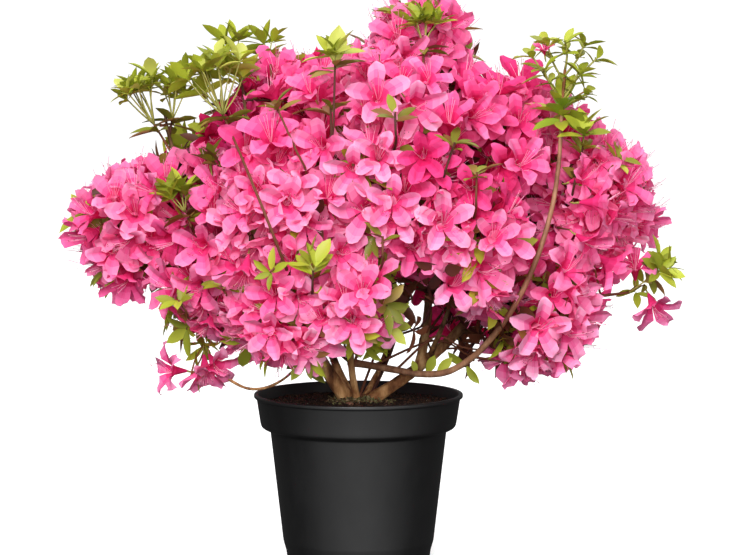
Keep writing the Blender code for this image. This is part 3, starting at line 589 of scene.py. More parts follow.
# The bowed bough. A long younger shoot that swings out of the front stem, sinks over the
# pot's rim and rises in front of the crown; its bark is smooth, light brown to tan.
BOWED_FOOT = [  # where it leaves the front stem and sinks over the pot
    (-0.0080, -0.0160, 0.1800), (0.0120, -0.0300, 0.1790), (0.0330, -0.0410, 0.1760),
    (0.0560, -0.0480, 0.1730),
]
BOWED_SIDES = 12
BOWED_FORWARD = 0.036
BOWED_RELIEF = 0.00016
YOUNG_BARK = (0.290, 0.138, 0.074)
YOUNG_SHADES = [(0.130, 0.052, 0.026), YOUNG_BARK, (0.430, 0.250, 0.140)]
bowed_rise = []
for index, point in enumerate(lines["bowed_bough_rise"]):
    share = index / (len(lines["bowed_bough_rise"]) - 1)
    bowed_rise.append(point - Vector((0, BOWED_FORWARD * math.sin(math.pi * share), 0)))
bowed_line = [Vector(point) for point in BOWED_FOOT] + bowed_rise
bends = zip(bowed_line, bowed_line[1:], bowed_line[2:])
bowed_line[1:-1] = [(before + here * 2 + after) / 4 for before, here, after in bends]
curve = smoothed(bowed_line, STEM_RING)
bowed_parts = Sprays()
bowed_radii = limb_radii(curve, reaches["bowed_bough_foot"][0], reaches["bowed_bough_rise"][1], FORK_FLARE)
bowed_parts.add(tube(curve, bowed_radii, BOWED_SIDES))
bowed_mesh = bmesh.new()
bowed_mesh.from_mesh(bowed_parts.mesh("bowed_bough"))
bark_relief(bowed_mesh, BOWED_RELIEF)
young_look, young_shader = surface("smooth_young_bark", YOUNG_BARK, roughness=0.6, specular=0.35)
grain(
    young_look, young_shader, scale=120, stretch=(1, 1, 0.35), colours=YOUNG_SHADES,
    stops=(0.32, 0.52, 0.74), bump=0.4, depth=0.0006,
)
show("bowed_bough", bowed_mesh, [young_look], "bark", ["bowed_bough_foot", "bowed_bough_rise"])


# The moss at the stems' foot. A low ragged cushion of dull green and brown moss and bark
# litter, with one small reddish stone, on the peat round the root crown.
MOSS_TUFTS = 520
MOSS_SIZES = (0.0007, 0.0021)
MOSS_INSIDE = 0.012
MOSS_SPREAD = 0.019
MOSS_TINTS = [(0.130, 0.120, 0.050), (0.200, 0.185, 0.085), (0.090, 0.060, 0.034), (0.300, 0.215, 0.125)]
MOSS_SHARES = (0, 0, 1, 1, 2, 2, 3)
STONE_PLACE = (-0.0080, -0.0330)
STONE_SIZE = 0.0034
STONE_RED = (0.200, 0.090, 0.055)
moss = Sprays()
rng = random.Random("moss")
for _ in range(MOSS_TUFTS):
    turn = rng.uniform(0, math.tau)
    ragged = 1 + 0.35 * math.cos(turn * 3 + 1) + 0.25 * math.sin(turn)
    away = MOSS_INSIDE + MOSS_SPREAD * rng.random() ** 1.6 * ragged
    x, y = away * math.cos(turn), away * math.sin(turn)
    size = rng.uniform(*MOSS_SIZES)
    lift = soil_height(x, y) + 0.0006 + max(0.0, 0.024 - away) * 0.34
    spin = Matrix.Rotation(rng.uniform(0, math.tau), 3, "Z")
    tumble = spin @ Matrix.Rotation(rng.uniform(-1.2, 1.2), 3, "Y")
    tuft = rng.choice(crumb_shapes + chip_shapes[:2])
    moss.add(tuft, tumble, (x, y, lift), size, rng.choice(MOSS_SHARES))
stone_spot = (*STONE_PLACE, soil_height(*STONE_PLACE) + 0.0009)
moss.add(rng.choice(crumb_shapes), Matrix.Rotation(0.4, 3, "Z"), stone_spot, STONE_SIZE, len(MOSS_TINTS))
moss_looks = []
for index, tint in enumerate(MOSS_TINTS):
    moss_looks.append(surface(f"moss_{index}", tint, roughness=0.95, specular=0.1)[0])
moss_looks.append(surface("reddish_stone", STONE_RED, roughness=0.7, specular=0.3)[0])
show("stem_foot_moss", moss.mesh("stem_foot_moss"), moss_looks, "potting_soil")


# The boughs. A thinner woody limb that leads from the stems into each mass of blossom,
# with the same bark in smaller flakes; every one grows out of its stem with a flare.
BOUGH_RING = 0.0032
BOUGH_SIDES = 10
BOUGH_RADIUS = 0.0016
BOUGH_THICKENS = 0.012
BOUGH_TIP_RADIUS = 0.0013
BOUGH_ENTERS = 0.72
BOUGH_RELIEF = 0.00026
BOUGH_REACH = 0.0028
GUARD_RING = 0.012
GUARD_SIDES = 5
SPRAY_BOUGHS = {"low_left_spray": 0.0013, "right_outlier": 0.0017}  # the foot radius of the sprays' boughs
BOUGHS = {  # the limb that it springs from, how far along that limb, and its bow
    "far_left": ("stem_left", 0.62, (0.000, 0.006, 0.014)),
    "upper_left": ("stem_left", 1.0, (-0.010, 0.012, 0.006)),
    "lower_left": ("stem_left", 0.45, (0.000, -0.010, 0.008)),
    "upper_centre_left": ("stem_left", 1.0, (0.006, 0.008, 0.000)),
    "left_front": ("stem_left", 0.8, (0.004, -0.014, 0.004)),
    "centre_low_left": ("stem_front", 0.36, (-0.006, -0.008, -0.004)),
    "centre_low": ("stem_front", 0.62, (0.004, -0.010, -0.006)),
    "centre_front": ("stem_front", 1.0, (0.004, -0.006, 0.002)),
    "middle_top": ("stem_front", 1.0, (0.000, 0.010, 0.000)),
    "centre_right_front": ("stem_right", 0.5, (0.004, -0.014, 0.004)),
    "lower_right": ("stem_right", 0.78, (0.004, -0.004, -0.004)),
    "right": ("stem_right", 1.0, (0.010, 0.000, -0.006)),
    "upper_right": ("stem_right", 1.0, (-0.004, 0.006, -0.004)),
    "top_peak": ("stem_upright", 1.0, (-0.004, -0.002, 0.000)),
    "back_top": ("stem_upright", 1.0, (0.000, 0.006, 0.004)),
    "back_left": ("stem_back_left", 1.0, (-0.004, 0.006, -0.006)),
    "back_low": ("stem_back_left", 0.55, (0.004, 0.006, -0.004)),
    "back_centre": ("stem_back_right", 1.0, (-0.004, 0.004, -0.004)),
    "back_right": ("stem_back_right", 0.86, (0.006, 0.000, -0.010)),
    "low_left_spray": ("stem_left", 0.42, (0.000, -0.006, -0.024)),
    "right_outlier": ("stem_right", 0.92, (0.006, 0.030, -0.004)),
    "left_shoot": ("stem_left", 0.92, (-0.006, -0.030, 0.000)),
    "far_left_shoot": ("stem_left", 0.86, (-0.020, -0.016, 0.000)),
    "right_shoot": ("bowed_bough_rise", 1.0, None),
}
SPACES = {  # the rounded space of each mass: its centre and its half sizes
    "far_left": ((-0.205, -0.010, 0.300), (0.060, 0.068, 0.068)),
    "upper_left": ((-0.134, 0.012, 0.358), (0.065, 0.071, 0.069)),
    "lower_left": ((-0.127, -0.052, 0.247), (0.067, 0.067, 0.071)),
    "upper_centre_left": ((-0.058, 0.012, 0.407), (0.065, 0.071, 0.065)),
    "left_front": ((-0.062, -0.105, 0.335), (0.065, 0.067, 0.069)),
    "centre_low_left": ((-0.060, -0.109, 0.238), (0.059, 0.063, 0.063)),
    "centre_low": ((0.014, -0.119, 0.240), (0.055, 0.059, 0.055)),
    "centre_front": ((0.031, -0.119, 0.345), (0.065, 0.065, 0.069)),
    "middle_top": ((0.022, -0.037, 0.409), (0.063, 0.065, 0.063)),
    "centre_right_front": ((0.094, -0.105, 0.290), (0.063, 0.065, 0.067)),
    "lower_right": ((0.150, -0.050, 0.230), (0.068, 0.066, 0.064)),
    "right": ((0.202, -0.006, 0.332), (0.066, 0.071, 0.066)),
    "upper_right": ((0.129, 0.000, 0.380), (0.067, 0.071, 0.067)),
    "top_peak": ((0.058, 0.010, 0.456), (0.062, 0.065, 0.066)),
    "back_top": ((0.000, 0.088, 0.415), (0.069, 0.067, 0.065)),
    "back_left": ((-0.127, 0.109, 0.318), (0.069, 0.069, 0.071)),
    "back_low": ((-0.035, 0.139, 0.240), (0.071, 0.063, 0.061)),
    "back_centre": ((-0.004, 0.150, 0.331), (0.071, 0.067, 0.069)),
    "back_right": ((0.117, 0.115, 0.308), (0.071, 0.071, 0.071)),
    "low_left_spray": ((-0.156, -0.060, 0.169), (0.046, 0.044, 0.042)),
    "right_outlier": ((0.250, -0.032, 0.246), (0.046, 0.044, 0.045)),
    "left_shoot": ((-0.106, -0.066, 0.446), (0.050, 0.038, 0.040)),
    "far_left_shoot": ((-0.190, -0.014, 0.430), (0.038, 0.036, 0.040)),
    "right_shoot": ((0.184, -0.050, 0.456), (0.046, 0.038, 0.040)),
}

bough_parts = Sprays()
carriers = {}
for name, (parent, share, bow) in BOUGHS.items():
    if bow is None:
        carriers[name] = lines[parent]
        continue
    start = along_points(lines[parent], share)
    centre = Vector(SPACES[name][0])
    half = SPACES[name][1]
    inward = (start - centre).normalized()
    radius = 1 / math.sqrt(sum((inward[k] / half[k]) ** 2 for k in range(3)))
    end = centre + inward * radius * BOUGH_ENTERS
    foot = BOUGH_RADIUS + BOUGH_THICKENS * (end - start).length
    if name in SPRAY_BOUGHS:
        foot = SPRAY_BOUGHS[name]
    bough = f"{name}_bough"
    lines[bough] = bowed(start, end, Vector(bow), bough)
    carriers[name] = lines[bough]
    curve = smoothed(lines[bough], BOUGH_RING)
    bough_parts.add(tube(curve, limb_radii(curve, foot, BOUGH_TIP_RADIUS, FORK_FLARE), BOUGH_SIDES))
boughs = bmesh.new()
boughs.from_mesh(bough_parts.mesh("boughs"))
bark_relief(boughs, BOUGH_RELIEF)
bough_nodes = [f"{name}_bough" for name in BOUGHS if f"{name}_bough" in lines]
show("boughs", boughs, [bark_look], "bark", bough_nodes)


def hull_of(line, radius, sides):
    """A bare tube along a line, for the tests of what would touch it."""
    verts, corners = tube(line, [radius] * len(line), sides, caps=False)[:2]
    return BVHTree.FromPolygons(verts.tolist(), corners.reshape(-1, 4).tolist())


lines["bowed_bough_foot"] = bowed_line[:5]
limb_trees = []
for name, line in lines.items():
    foot = reaches[name][0] if name in reaches else BOUGH_REACH
    limb_trees.append(hull_of(smoothed(line, GUARD_RING), foot, GUARD_SIDES))


# The blossom. Funnel flowers of five broad, softly creased lobes on a short tube, pale
# pink with a deep rose throat, five arching stamens and a longer style, on thin stalks.
PETAL_COLUMNS = 4
PETAL_LINE = [  # how far out and up it runs and how wide it is to each side, from the tube's foot to its tip
    (0.0013, 0.0000, None),
    (0.0044, 0.0120, None),
    (0.0084, 0.0180, 0.0046),
    (0.0134, 0.0222, 0.0063),
    (0.0192, 0.0252, 0.0071),
    (0.0242, 0.0267, 0.0058),
    (0.0264, 0.0271, 0.0027),
]
STREAK = 0.0026  # how much further out the middle of each row lies, so that the pinks run out in points
MOUTH = 1
LOBES = 5
FLOWER_KINDS = 16
FLOWER_SIZES = (0.80, 1.04)
MOUTH_RADIUS = 0.0044
CURL_BACK = (-0.0060, 0.0085)
CUPPED = -0.002  # a flower that curls back less than this is cupped, and stands less wide
CUPPED_REACH = 0.88
LOBE_SKEW = (-0.12, 0.12)
LOBE_TWIST = (-0.24, 0.24)
LOBE_LENGTH = (0.92, 1.06)
LOBE_WIDTH = (0.86, 1.06)
LOBE_CURL = (-0.0028, 0.0028)
LOBE_CUP = (-0.0022, 0.0030)
LOBE_WAVE = (0.0010, 0.0022)
LOBE_CREASE = 0.0021
LOBE_MARKS = 20
THROAT_SHARE = [  # how deep the middle and the sides of each row are, from the tube to the tip
    (1.0, 1.0), (0.86, 0.80), (0.58, 0.46), (0.34, 0.22), (0.17, 0.08), (0.04, 0.0),
]
BLOTCH = [0.0, 0.08, 0.14, 0.08, 0.03, 0.0]  # how much deeper the upper lobe is
# the deepest pinks also serve as painted shade for flowers deep in the crown and under it
PINK_STEPS = [  # from the palest petal to the depth of the throat, as seen
    (0, (255, 202, 228)), (5, (254, 162, 204)), (10, (249, 118, 175)), (15, (240, 72, 141)),
    (19, (228, 40, 110)), (22, (206, 22, 84)), (25, (160, 8, 50)),
]
PALEST = 3.0
PALE_STEP = 1.55
PALE_STRAY = 1.0
THROAT = 16.5
THROAT_STEP = 0.6
GLOW_STEPS = 6  # how many pinks deeper the light that comes through a petal is
STAMENS = 5
STAMEN_POINTS = 5
FILAMENT_RADIUS = 0.00019
FILAMENT_LENGTH = (0.030, 0.038)
FILAMENT_FAN = (0.0040, 0.0088)
FILAMENT_RISE = (0.004, 0.011)
FILAMENT_FOOT = 0.005
STYLE_LENGTH = 0.042
STYLE_RISE = 0.003
STYLE_THICKER = 1.25
STYLE_TIP = 0.75
ANTHER_SIZE = 0.00045


PINKS = []
for (first, near), (last, far) in zip(PINK_STEPS, PINK_STEPS[1:]):
    for step in range(first, last):
        share = (step - first) / (last - first)
        PINKS.append(tuple(near[k] + (far[k] - near[k]) * share for k in range(3)))
PINKS.append(PINK_STEPS[-1][1])


def seen(colour):
    """A colour given as it is seen, as linear light."""
    return tuple(((c / 255 + 0.055) / 1.055) ** 2.4 if c > 10 else c / 255 / 12.92 for c in colour)


def flower(rng):
    """One open flower as arrays: the tube's foot at the origin, opening to +Z, its upper lobe to +X."""
    mesh = bmesh.new()
    recurve = rng.uniform(*CURL_BACK)
    spread_out = 1.0 if recurve > CUPPED else CUPPED_REACH
    rows = len(PETAL_LINE) - 1
    for lobe in range(LOBES):
        made = bmesh.ops.create_grid(mesh, x_segments=PETAL_COLUMNS, y_segments=rows, size=1.0)["verts"]
        for face in {face for vert in made for face in vert.link_faces}:
            spot = face.calc_center_median()
            row = min(int((spot.y + 1) / 2 * rows), rows - 1)
            face.material_index = lobe * LOBE_MARKS + row * 2 + (abs(spot.x) > 0.5)
        turn = Matrix.Rotation(math.tau * lobe / LOBES, 3, "Z")
        skew = rng.uniform(*LOBE_SKEW)
        twist = rng.uniform(*LOBE_TWIST)
        long = rng.uniform(*LOBE_LENGTH)
        wide = rng.uniform(*LOBE_WIDTH)
        tilt = recurve + rng.uniform(*LOBE_CURL)
        cup = rng.uniform(*LOBE_CUP)
        wave = rng.uniform(*LOBE_WAVE)
        phase = rng.uniform(0, math.tau)
        for vert in made:
            row = round((vert.co.y + 1) / 2 * rows)
            out, up, half = PETAL_LINE[row]
            free = max(row - MOUTH, 0) / (rows - MOUTH)
            side = vert.co.x if abs(vert.co.x) > 0.9 else vert.co.x * (1.0 - 0.55 * min(free * 3, 1.0))
            if half is None:
                spread = math.pi / LOBES * vert.co.x
                vert.co = Vector((out * math.cos(spread), out * math.sin(spread), up))
            else:
                out = MOUTH_RADIUS + (out - MOUTH_RADIUS) * long * spread_out
                edge = math.sin(phase + 2.1 * row + 1.3 * side) * side ** 2
                x = out + STREAK * (0.45 - abs(side)) * math.sin(math.pi * free)
                x = x - 0.0010 * side ** 2 - 0.0006 * edge
                y = side * half * (1 + (wide - 1) * free) * (1 + 0.06 * edge)
                y = y + skew * (out - MOUTH_RADIUS) * free
                z = up - tilt * free ** 2 + cup * side ** 2 * free + twist * y * free
                z += wave * edge * (0.35 + free)
                z -= LOBE_CREASE * max(1 - abs(side) * 2.2, 0.0) * math.sin(math.pi * min(free * 1.1, 1.0))
                vert.co = Vector((x, y, z))
            vert.co = turn @ vert.co
    bmesh.ops.remove_doubles(mesh, verts=mesh.verts, dist=1e-5)
    bmesh.ops.recalc_face_normals(mesh, faces=mesh.faces[:])
    verts, corners, sizes, marks = arrays_of(mesh)
    lobes = marks // LOBE_MARKS
    rows_beside = marks % LOBE_MARKS
    shares = np.array(THROAT_SHARE)[rows_beside // 2, rows_beside % 2]
    return verts, corners, sizes, lobes, shares + np.array(BLOTCH)[rows_beside // 2] * (lobes == 0)


def petal_pinks(lobes, shares, tint, rng):
    """Which pink each face of a flower has: pale at the lobes' tips, deeper towards the throat."""
    strays = np.array([rng.uniform(-PALE_STRAY, PALE_STRAY) for _ in range(LOBES)])
    pale = PALEST + PALE_STEP * tint + strays[lobes]
    deep = THROAT + THROAT_STEP * tint
    return np.clip(np.rint(pale + (deep - pale) * shares), 0, len(PINKS) - 1).astype(np.int32)


def stamens(rng):
    """The stamens and style of one flower as arrays: filament, anther and style are looks 0, 1 and 2."""
    gathered = Sprays()
    for index in range(STAMENS + 1):
        style = index == STAMENS
        fan = 0.0 if style else (index / (STAMENS - 1) - 0.5) * 2
        long = STYLE_LENGTH if style else rng.uniform(*FILAMENT_LENGTH)
        side = fan * rng.uniform(*FILAMENT_FAN)
        rise = rng.uniform(*FILAMENT_RISE) + (STYLE_RISE if style else 0.0)
        line = []
        for step in range(STAMEN_POINTS):
            t = step / (STAMEN_POINTS - 1)
            x = -0.0024 * math.sin(math.pi * min(t * 1.25, 1.0)) + rise * t ** 2.4
            line.append(Vector((x, side * t ** 1.6, FILAMENT_FOOT + (long - FILAMENT_FOOT) * t)))
        radii = [FILAMENT_RADIUS * (STYLE_THICKER if style else 1.0)] * STAMEN_POINTS
        gathered.add(tube(line, radii, 3, caps=False), look=2 if style else 0)
        tip = bmesh.new()
        bmesh.ops.create_cone(tip, cap_ends=False, segments=4, radius1=1.0, radius2=0.0, depth=1.6)
        bmesh.ops.mirror(tip, geom=tip.verts[:] + tip.edges[:] + tip.faces[:], axis="Z", merge_dist=0.001)
        bmesh.ops.recalc_face_normals(tip, faces=tip.faces[:])
        size = ANTHER_SIZE * (STYLE_TIP if style else 1.0)
        gathered.add(arrays_of(tip), place=line[-1], size=size, look=2 if style else 1)
    kept = (gathered.verts, gathered.corners, gathered.sizes, gathered.looks)
    return tuple(np.concatenate(rows) for rows in kept)


rng = random.Random("flowers")
flower_shapes = [flower(rng) for _ in range(FLOWER_KINDS)]
stamen_shapes = [stamens(rng) for _ in range(FLOWER_KINDS)]


def glowing(look, shader, colour, share):
    """Lets a share of the light come through a thin petal or leaf, in a colour of its own."""
    tree = look.node_tree
    through = tree.nodes.new("ShaderNodeBsdfTranslucent")
    through.inputs["Color"].default_value = (*colour, 1.0)
    both = tree.nodes.new("ShaderNodeMixShader")
    both.inputs["Fac"].default_value = share
    tree.links.new(shader.outputs["BSDF"], both.inputs[1])
    tree.links.new(through.outputs["BSDF"], both.inputs[2])
    tree.links.new(both.outputs["Shader"], tree.nodes["Material Output"].inputs["Surface"])
    return look


petal_looks = []
for index, colour in enumerate(PINKS):
    look, shader = surface(f"petal_pink_{index:02d}", seen(colour), roughness=0.62, specular=0.07)
    deeper = PINKS[min(index + GLOW_STEPS, len(PINKS) - 1)]
    petal_looks.append(glowing(look, shader, seen(deeper), share=0.32))
stamen_looks = [
    surface("filament_pink", seen((252, 178, 206)), roughness=0.55, specular=0.3)[0],
    surface("anther_brown", seen((150, 84, 84)), roughness=0.8, specular=0.2)[0],
    surface("style_pink", seen((240, 120, 168)), roughness=0.55, specular=0.3)[0],
]


# The leaves. Narrow, pointed and softly folded, in whorls below the flowers and at the
# ends of leafy shoots: fresh yellow-green when new, olive to bronze when older; the darkest
# reddish-brown tints are painted shade, for leaves inside the crown and under it.
LEAF_LENGTH = 0.030
LEAF_ROWS = 5
LEAF_FORMS = [0.0046, 0.0050, 0.0052, 0.0056, 0.0060, 0.0064, 0.0070, 0.0074]  # half the width of each
LEAF_DROOP = (0.001, 0.007)
LEAF_FOLD = (0.10, 0.45)
LEAF_WIDEST = (0.50, 0.62)
LEAF_BEND = (-0.0022, 0.0022)
LEAF_WAVE = (-0.0006, 0.0006)
LEAF_STALK = 0.0004
LEAF_TINTS = [
    (214, 214, 132), (196, 200, 94), (180, 188, 62), (162, 172, 48), (142, 150, 44), (118, 122, 40),
    (160, 138, 66), (132, 94, 52), (88, 48, 32), (62, 28, 24), (150, 180, 56), (122, 154, 48),
]
FRESH = (1, 1, 2, 2, 3, 3, 4)
GREEN = (2, 3, 4, 4)
BRIGHT = (10, 10, 2, 11, 3)
OLIVE = (4, 5, 5, 6, 7)
# painted shade: dulled, partly dark leaf tints for whorls in and beside the shaded hollow
SHADE_DULLED_TINTS = (5, 8, 5, 6)
# painted shade: near-black reddish-brown leaf tints for the inside of the crown and the dark hollow under it
PAINTED_SHADE_TINTS = (8, 8, 9)


def leaf(half_width, rng):
    """One leaf as arrays: its foot at the origin, lying along +X with its upper side to +Z."""
    mesh = bmesh.new()
    made = bmesh.ops.create_grid(mesh, x_segments=LEAF_ROWS, y_segments=2, size=1.0)["verts"]
    droop = rng.uniform(*LEAF_DROOP)
    fold = rng.uniform(*LEAF_FOLD)
    widest = rng.uniform(*LEAF_WIDEST)
    bend = rng.uniform(*LEAF_BEND)
    wave = rng.uniform(*LEAF_WAVE)
    for vert in made:
        t = (vert.co.x + 1) / 2
        side = vert.co.y
        swell = t / widest if t < widest else (1 - t) / (1 - widest)
        half = half_width * math.sin(math.pi / 2 * max(swell, 0.0)) ** 0.85 + LEAF_STALK * (1 - t)
        y = side * half + bend * t ** 2
        z = fold * abs(side) * half - droop * t ** 2 + wave * side * math.sin(7 * t)
        vert.co = Vector((t * LEAF_LENGTH, y, z))
    bmesh.ops.remove_doubles(mesh, verts=mesh.verts, dist=2e-5)
    bmesh.ops.recalc_face_normals(mesh, faces=mesh.faces[:])
    if sum(face.normal.z for face in mesh.faces) < 0:
        bmesh.ops.reverse_faces(mesh, faces=mesh.faces[:])
    return arrays_of(mesh)


rng = random.Random("leaves")
leaf_shapes = [leaf(half_width, rng) for half_width in LEAF_FORMS]
OLD_LEAVES = leaf_shapes[:5]
NEW_LEAVES = leaf_shapes[1:7]
BROAD_LEAVES = leaf_shapes[5:7]
BROADEST_LEAF = leaf_shapes[7:]
leaf_looks = []
for index, colour in enumerate(LEAF_TINTS):
    look, shader = surface(f"leaf_green_{index}", seen(colour), roughness=0.48, specular=0.4)
    leaf_looks.append(glowing(look, shader, seen(colour), share=0.28))


# The growth. Each mass has its own stem from its bough's tip; twigs spread from it by a
# seeded rule, fork into finer ones, and end in a truss of flowers over a whorl of leaves.
CAMERA_SIDE = Vector((0.0105, -3.0, 0.534))  # where the plant is seen from
HUB_BACK = 0.22
STRAIGHT_ON = 0.3
OUTLINE = 1.06
SQUARENESS = 2.6
GUARD_SIZE = 0.74
FLOWER_REACH = 0.0250
FLOWER_DEPTH = 0.0250
FINE_RADIUS = 0.00080
PEDICEL_RADIUS = 0.00055
TWIG_TINTS = [(104, 58, 38), (128, 78, 46), (74, 38, 28), (150, 146, 74)]
RED_BROWN, TAN, DARK, YELLOW_GREEN = range(4)  # the tints' places in the list above
WOODY = (RED_BROWN, TAN, DARK)
REDDISH = (RED_BROWN, RED_BROWN, DARK)
LIMB_RING = 0.005
POT_TOP = POT_HEIGHT + 0.002
LEAF_SIZES = (0.50, 0.80)
SHOOT_MASSES = ("left_shoot", "far_left_shoot", "right_shoot")
SPRAY_MASSES = ("low_left_spray", "right_outlier")
FULL_MASSES = [name for name in SPACES if name not in SHOOT_MASSES + SPRAY_MASSES]
MOST_GUARDS = 20000
GUARD_FORWARD = 0.0045
MIDDLE_FORWARD = 0.018
LEAF_GUARD = 0.0048
LEAF_PAST = 0.006
LEAF_SLACK = 1.12
# The blossom's ragged upper and lower edge as seen from the front, in mm
TOP_EDGE = [
    (-265, 312), (-259, 321), (-252, 333), (-234, 348), (-223, 358), (-211, 364), (-193, 365), (-180, 369),
    (-163, 372), (-153, 381), (-144, 397), (-130, 406), (-112, 422), (-98, 453), (-87, 464), (-67, 464),
    (-53, 453), (-35, 461), (-17, 464), (-3, 458), (12, 490), (29, 506), (38, 519), (74, 519), (97, 499),
    (103, 455), (114, 435), (128, 439), (139, 444), (165, 435), (183, 424), (210, 413), (219, 399),
    (246, 385), (260, 373), (273, 330), (280, 312),
]
FOOT_EDGE = [
    (-265, 293), (-252, 284), (-239, 244), (-230, 230), (-189, 230), (-180, 233), (-163, 209), (-144, 200),
    (-112, 189), (-87, 171), (-53, 164), (-35, 173), (-8, 192), (24, 199), (37, 217), (41, 237), (65, 235),
    (74, 224), (110, 217), (128, 190), (139, 151), (169, 151), (196, 171), (210, 191), (221, 207),
    (230, 231), (237, 244), (255, 279), (280, 286),
]
SHADE_EDGE = [
    (-280, 280), (-239, 244), (-163, 209), (-87, 190), (20, 200), (50, 200), (54, 196), (104, 193),
    (128, 200), (210, 210), (280, 286),
]
# The left, right, lower and upper side of the gaps under it and of the dark hollow, in mm
OPEN_PLACES = [(36, 48, 203, 252), (-163, -150, 252, 262), (-188, -168, 234, 252)]
HOLLOW = (26, 104, 190, 276)


class Guards:
    """Coarse stand-ins of all that has grown so far, to tell whether something new would cross it."""

    def __init__(self, most):
        self.places = np.zeros((most, 3))
        self.reaches = np.zeros(most)
        self.trees = []
        self.flowers = set()

    def near(self, place, reach):
        """The numbers of those whose reach meets that of a place."""
        count = len(self.trees)
        gaps = np.linalg.norm(self.places[:count] - place, axis=1)
        return np.nonzero(gaps < self.reaches[:count] + reach)[0]

    def free(self, tree, place, reach, of_flowers=False):
        """True where a new tree crosses none of them, or none of the flowers alone."""
        near = [index for index in self.near(place, reach) if not of_flowers or index in self.flowers]
        return not any(self.trees[index].overlap(tree) for index in near)

    def keep(self, tree, place, reach, flower=False):
        """Adds a tree to them."""
        count = len(self.trees)
        if flower:
            self.flowers.add(count)
        self.places[count] = place
        self.reaches[count] = reach
        self.trees.append(tree)


twig_looks = []
for index, tint in enumerate(TWIG_TINTS):
    twig_looks.append(surface(f"twig_bark_{index}", seen(tint), roughness=0.75, specular=0.3)[0])
guards = Guards(MOST_GUARDS)
parts = {kind: {name: Sprays() for name in SPACES} for kind in ("petals", "stamens", "leaves", "twigs")}
star = [(0.0, 0.0, 0.009)]
for corner in range(2 * LOBES):
    turn = math.pi * corner / LOBES
    out = 1.0 if corner % 2 == 0 else 0.46
    star.append((FLOWER_REACH * out * math.cos(turn), FLOWER_REACH * out * math.sin(turn), FLOWER_DEPTH))
star_faces = [(0, 1 + corner, 1 + (corner + 1) % (2 * LOBES)) for corner in range(2 * LOBES)]
star = np.array(star)
FRAME_LOW = np.array(bounds_at_first[0]) - (0.006, 0.003, 0.0)
FRAME_HIGH = np.array(bounds_at_first[1]) + (0.006, 0.003, 0.004)


def facing_frame(facing, roll):
    """A turn that points +Z along facing, with +X as near to upright as it goes, then rolled."""
    up = Vector((0, 0, 1)) if abs(facing.z) < 0.93 else Vector((0, -1, 0.2)).normalized()
    side = (up - facing * up.dot(facing)).normalized()
    turn = Matrix((side, facing.cross(side), facing)).transposed()
    return turn @ Matrix.Rotation(roll, 3, "Z")


def leaf_frame(out, upward, roll):
    """A turn that points +X along out, with +Z as near to upward as it goes, then rolled."""
    upward = upward - out * upward.dot(out)
    if upward.length < 0.05:
        upward = out.orthogonal()
    upward.normalize()
    turn = Matrix((out, upward.cross(out), upward)).transposed()
    return turn @ Matrix.Rotation(roll, 3, "X")


def from_front(points):
    """Where points are seen from the front, as x and z in the plane through the pot's axis, in mm."""
    points = np.asarray(points, float)
    share = CAMERA_SIDE.y / (CAMERA_SIDE.y - points[:, 1])
    x = CAMERA_SIDE.x + (points[:, 0] - CAMERA_SIDE.x) * share
    z = CAMERA_SIDE.z + (points[:, 2] - CAMERA_SIDE.z) * share
    return x * 1000, z * 1000


def on_sight(x, z, y):
    """The point at depth y that is seen from the front at x and z, both in mm."""
    aim = Vector((x / 1000, 0.0, z / 1000))
    return CAMERA_SIDE.lerp(aim, (y - CAMERA_SIDE.y) / -CAMERA_SIDE.y)


def in_edges(points, shaded=False):
    """True where every point is seen between the blossom's edges, and not in the open places under it."""
    x, z = from_front(points)
    top = np.interp(x, [edge[0] for edge in TOP_EDGE], [edge[1] for edge in TOP_EDGE])
    lower = SHADE_EDGE if shaded else FOOT_EDGE
    foot = np.interp(x, [edge[0] for edge in lower], [edge[1] for edge in lower])
    wide = (x > TOP_EDGE[0][0]) & (x < TOP_EDGE[-1][0])
    for left, right, low, high in OPEN_PLACES:
        wide &= ~((x > left) & (x < right) & (z > low) & (z < high))
    return bool((wide & (z < top) & (z > foot)).all())


def in_outline(name, points, slack=1.0):
    """True where every point lies in the mass's own rounded space and the plant's size, clear of the pot."""
    centre, half = SPACES[name]
    points = np.asarray(points)
    if (points < FRAME_LOW).any() or (points > FRAME_HIGH).any():
        return False
    spread = (np.abs((points - centre) / half) ** SQUARENESS).sum(1)
    over_pot = (np.hypot(points[:, 0], points[:, 1]) > LIP_RADIUS + 0.002) | (points[:, 2] > POT_TOP)
    return spread.max() <= (OUTLINE * slack) ** SQUARENESS and over_pot.all()


def front_of(x, z):
    """The depth of the crown's front where it is seen at x and z in mm, and the mass that is there."""
    best = (0.0, None)
    closest = (1e9, None)
    for name in FULL_MASSES:
        centre, half = SPACES[name]
        share = 1 + centre[1] / -CAMERA_SIDE.y
        beside = (x / 1000 * share - centre[0]) / half[0]
        above = (z / 1000 * share - centre[2]) / half[2]
        away = beside ** 2 + above ** 2
        if away < 1:
            y = centre[1] - half[1] * math.sqrt(1 - away)
            if best[1] is None or y < best[0]:
                best = (y, name)
        if away < closest[0]:
            closest = (away, name)
    if best[1]:
        return best
    return SPACES[closest[1]][0][1], closest[1]


def hides_stalk(place):
    """True where a flower would stand in front of a bare stalk that the photo shows."""
    for start, end in CLEAR_LINES:
        along = end - start
        gone = (place.x - start.x) * along.x + (place.z - start.z) * along.z
        spot = start + along * min(max(gone / (along.x ** 2 + along.z ** 2), 0), 1)
        if math.hypot(place.x - spot.x, place.z - spot.z) < CLEAR_REACH and place.y < spot.y + CLEAR_DEPTH:
            return True
    return False


def touches_limb(tree):
    """True where a tree crosses a stem or a bough."""
    return any(limb.overlap(tree) for limb in limb_trees)


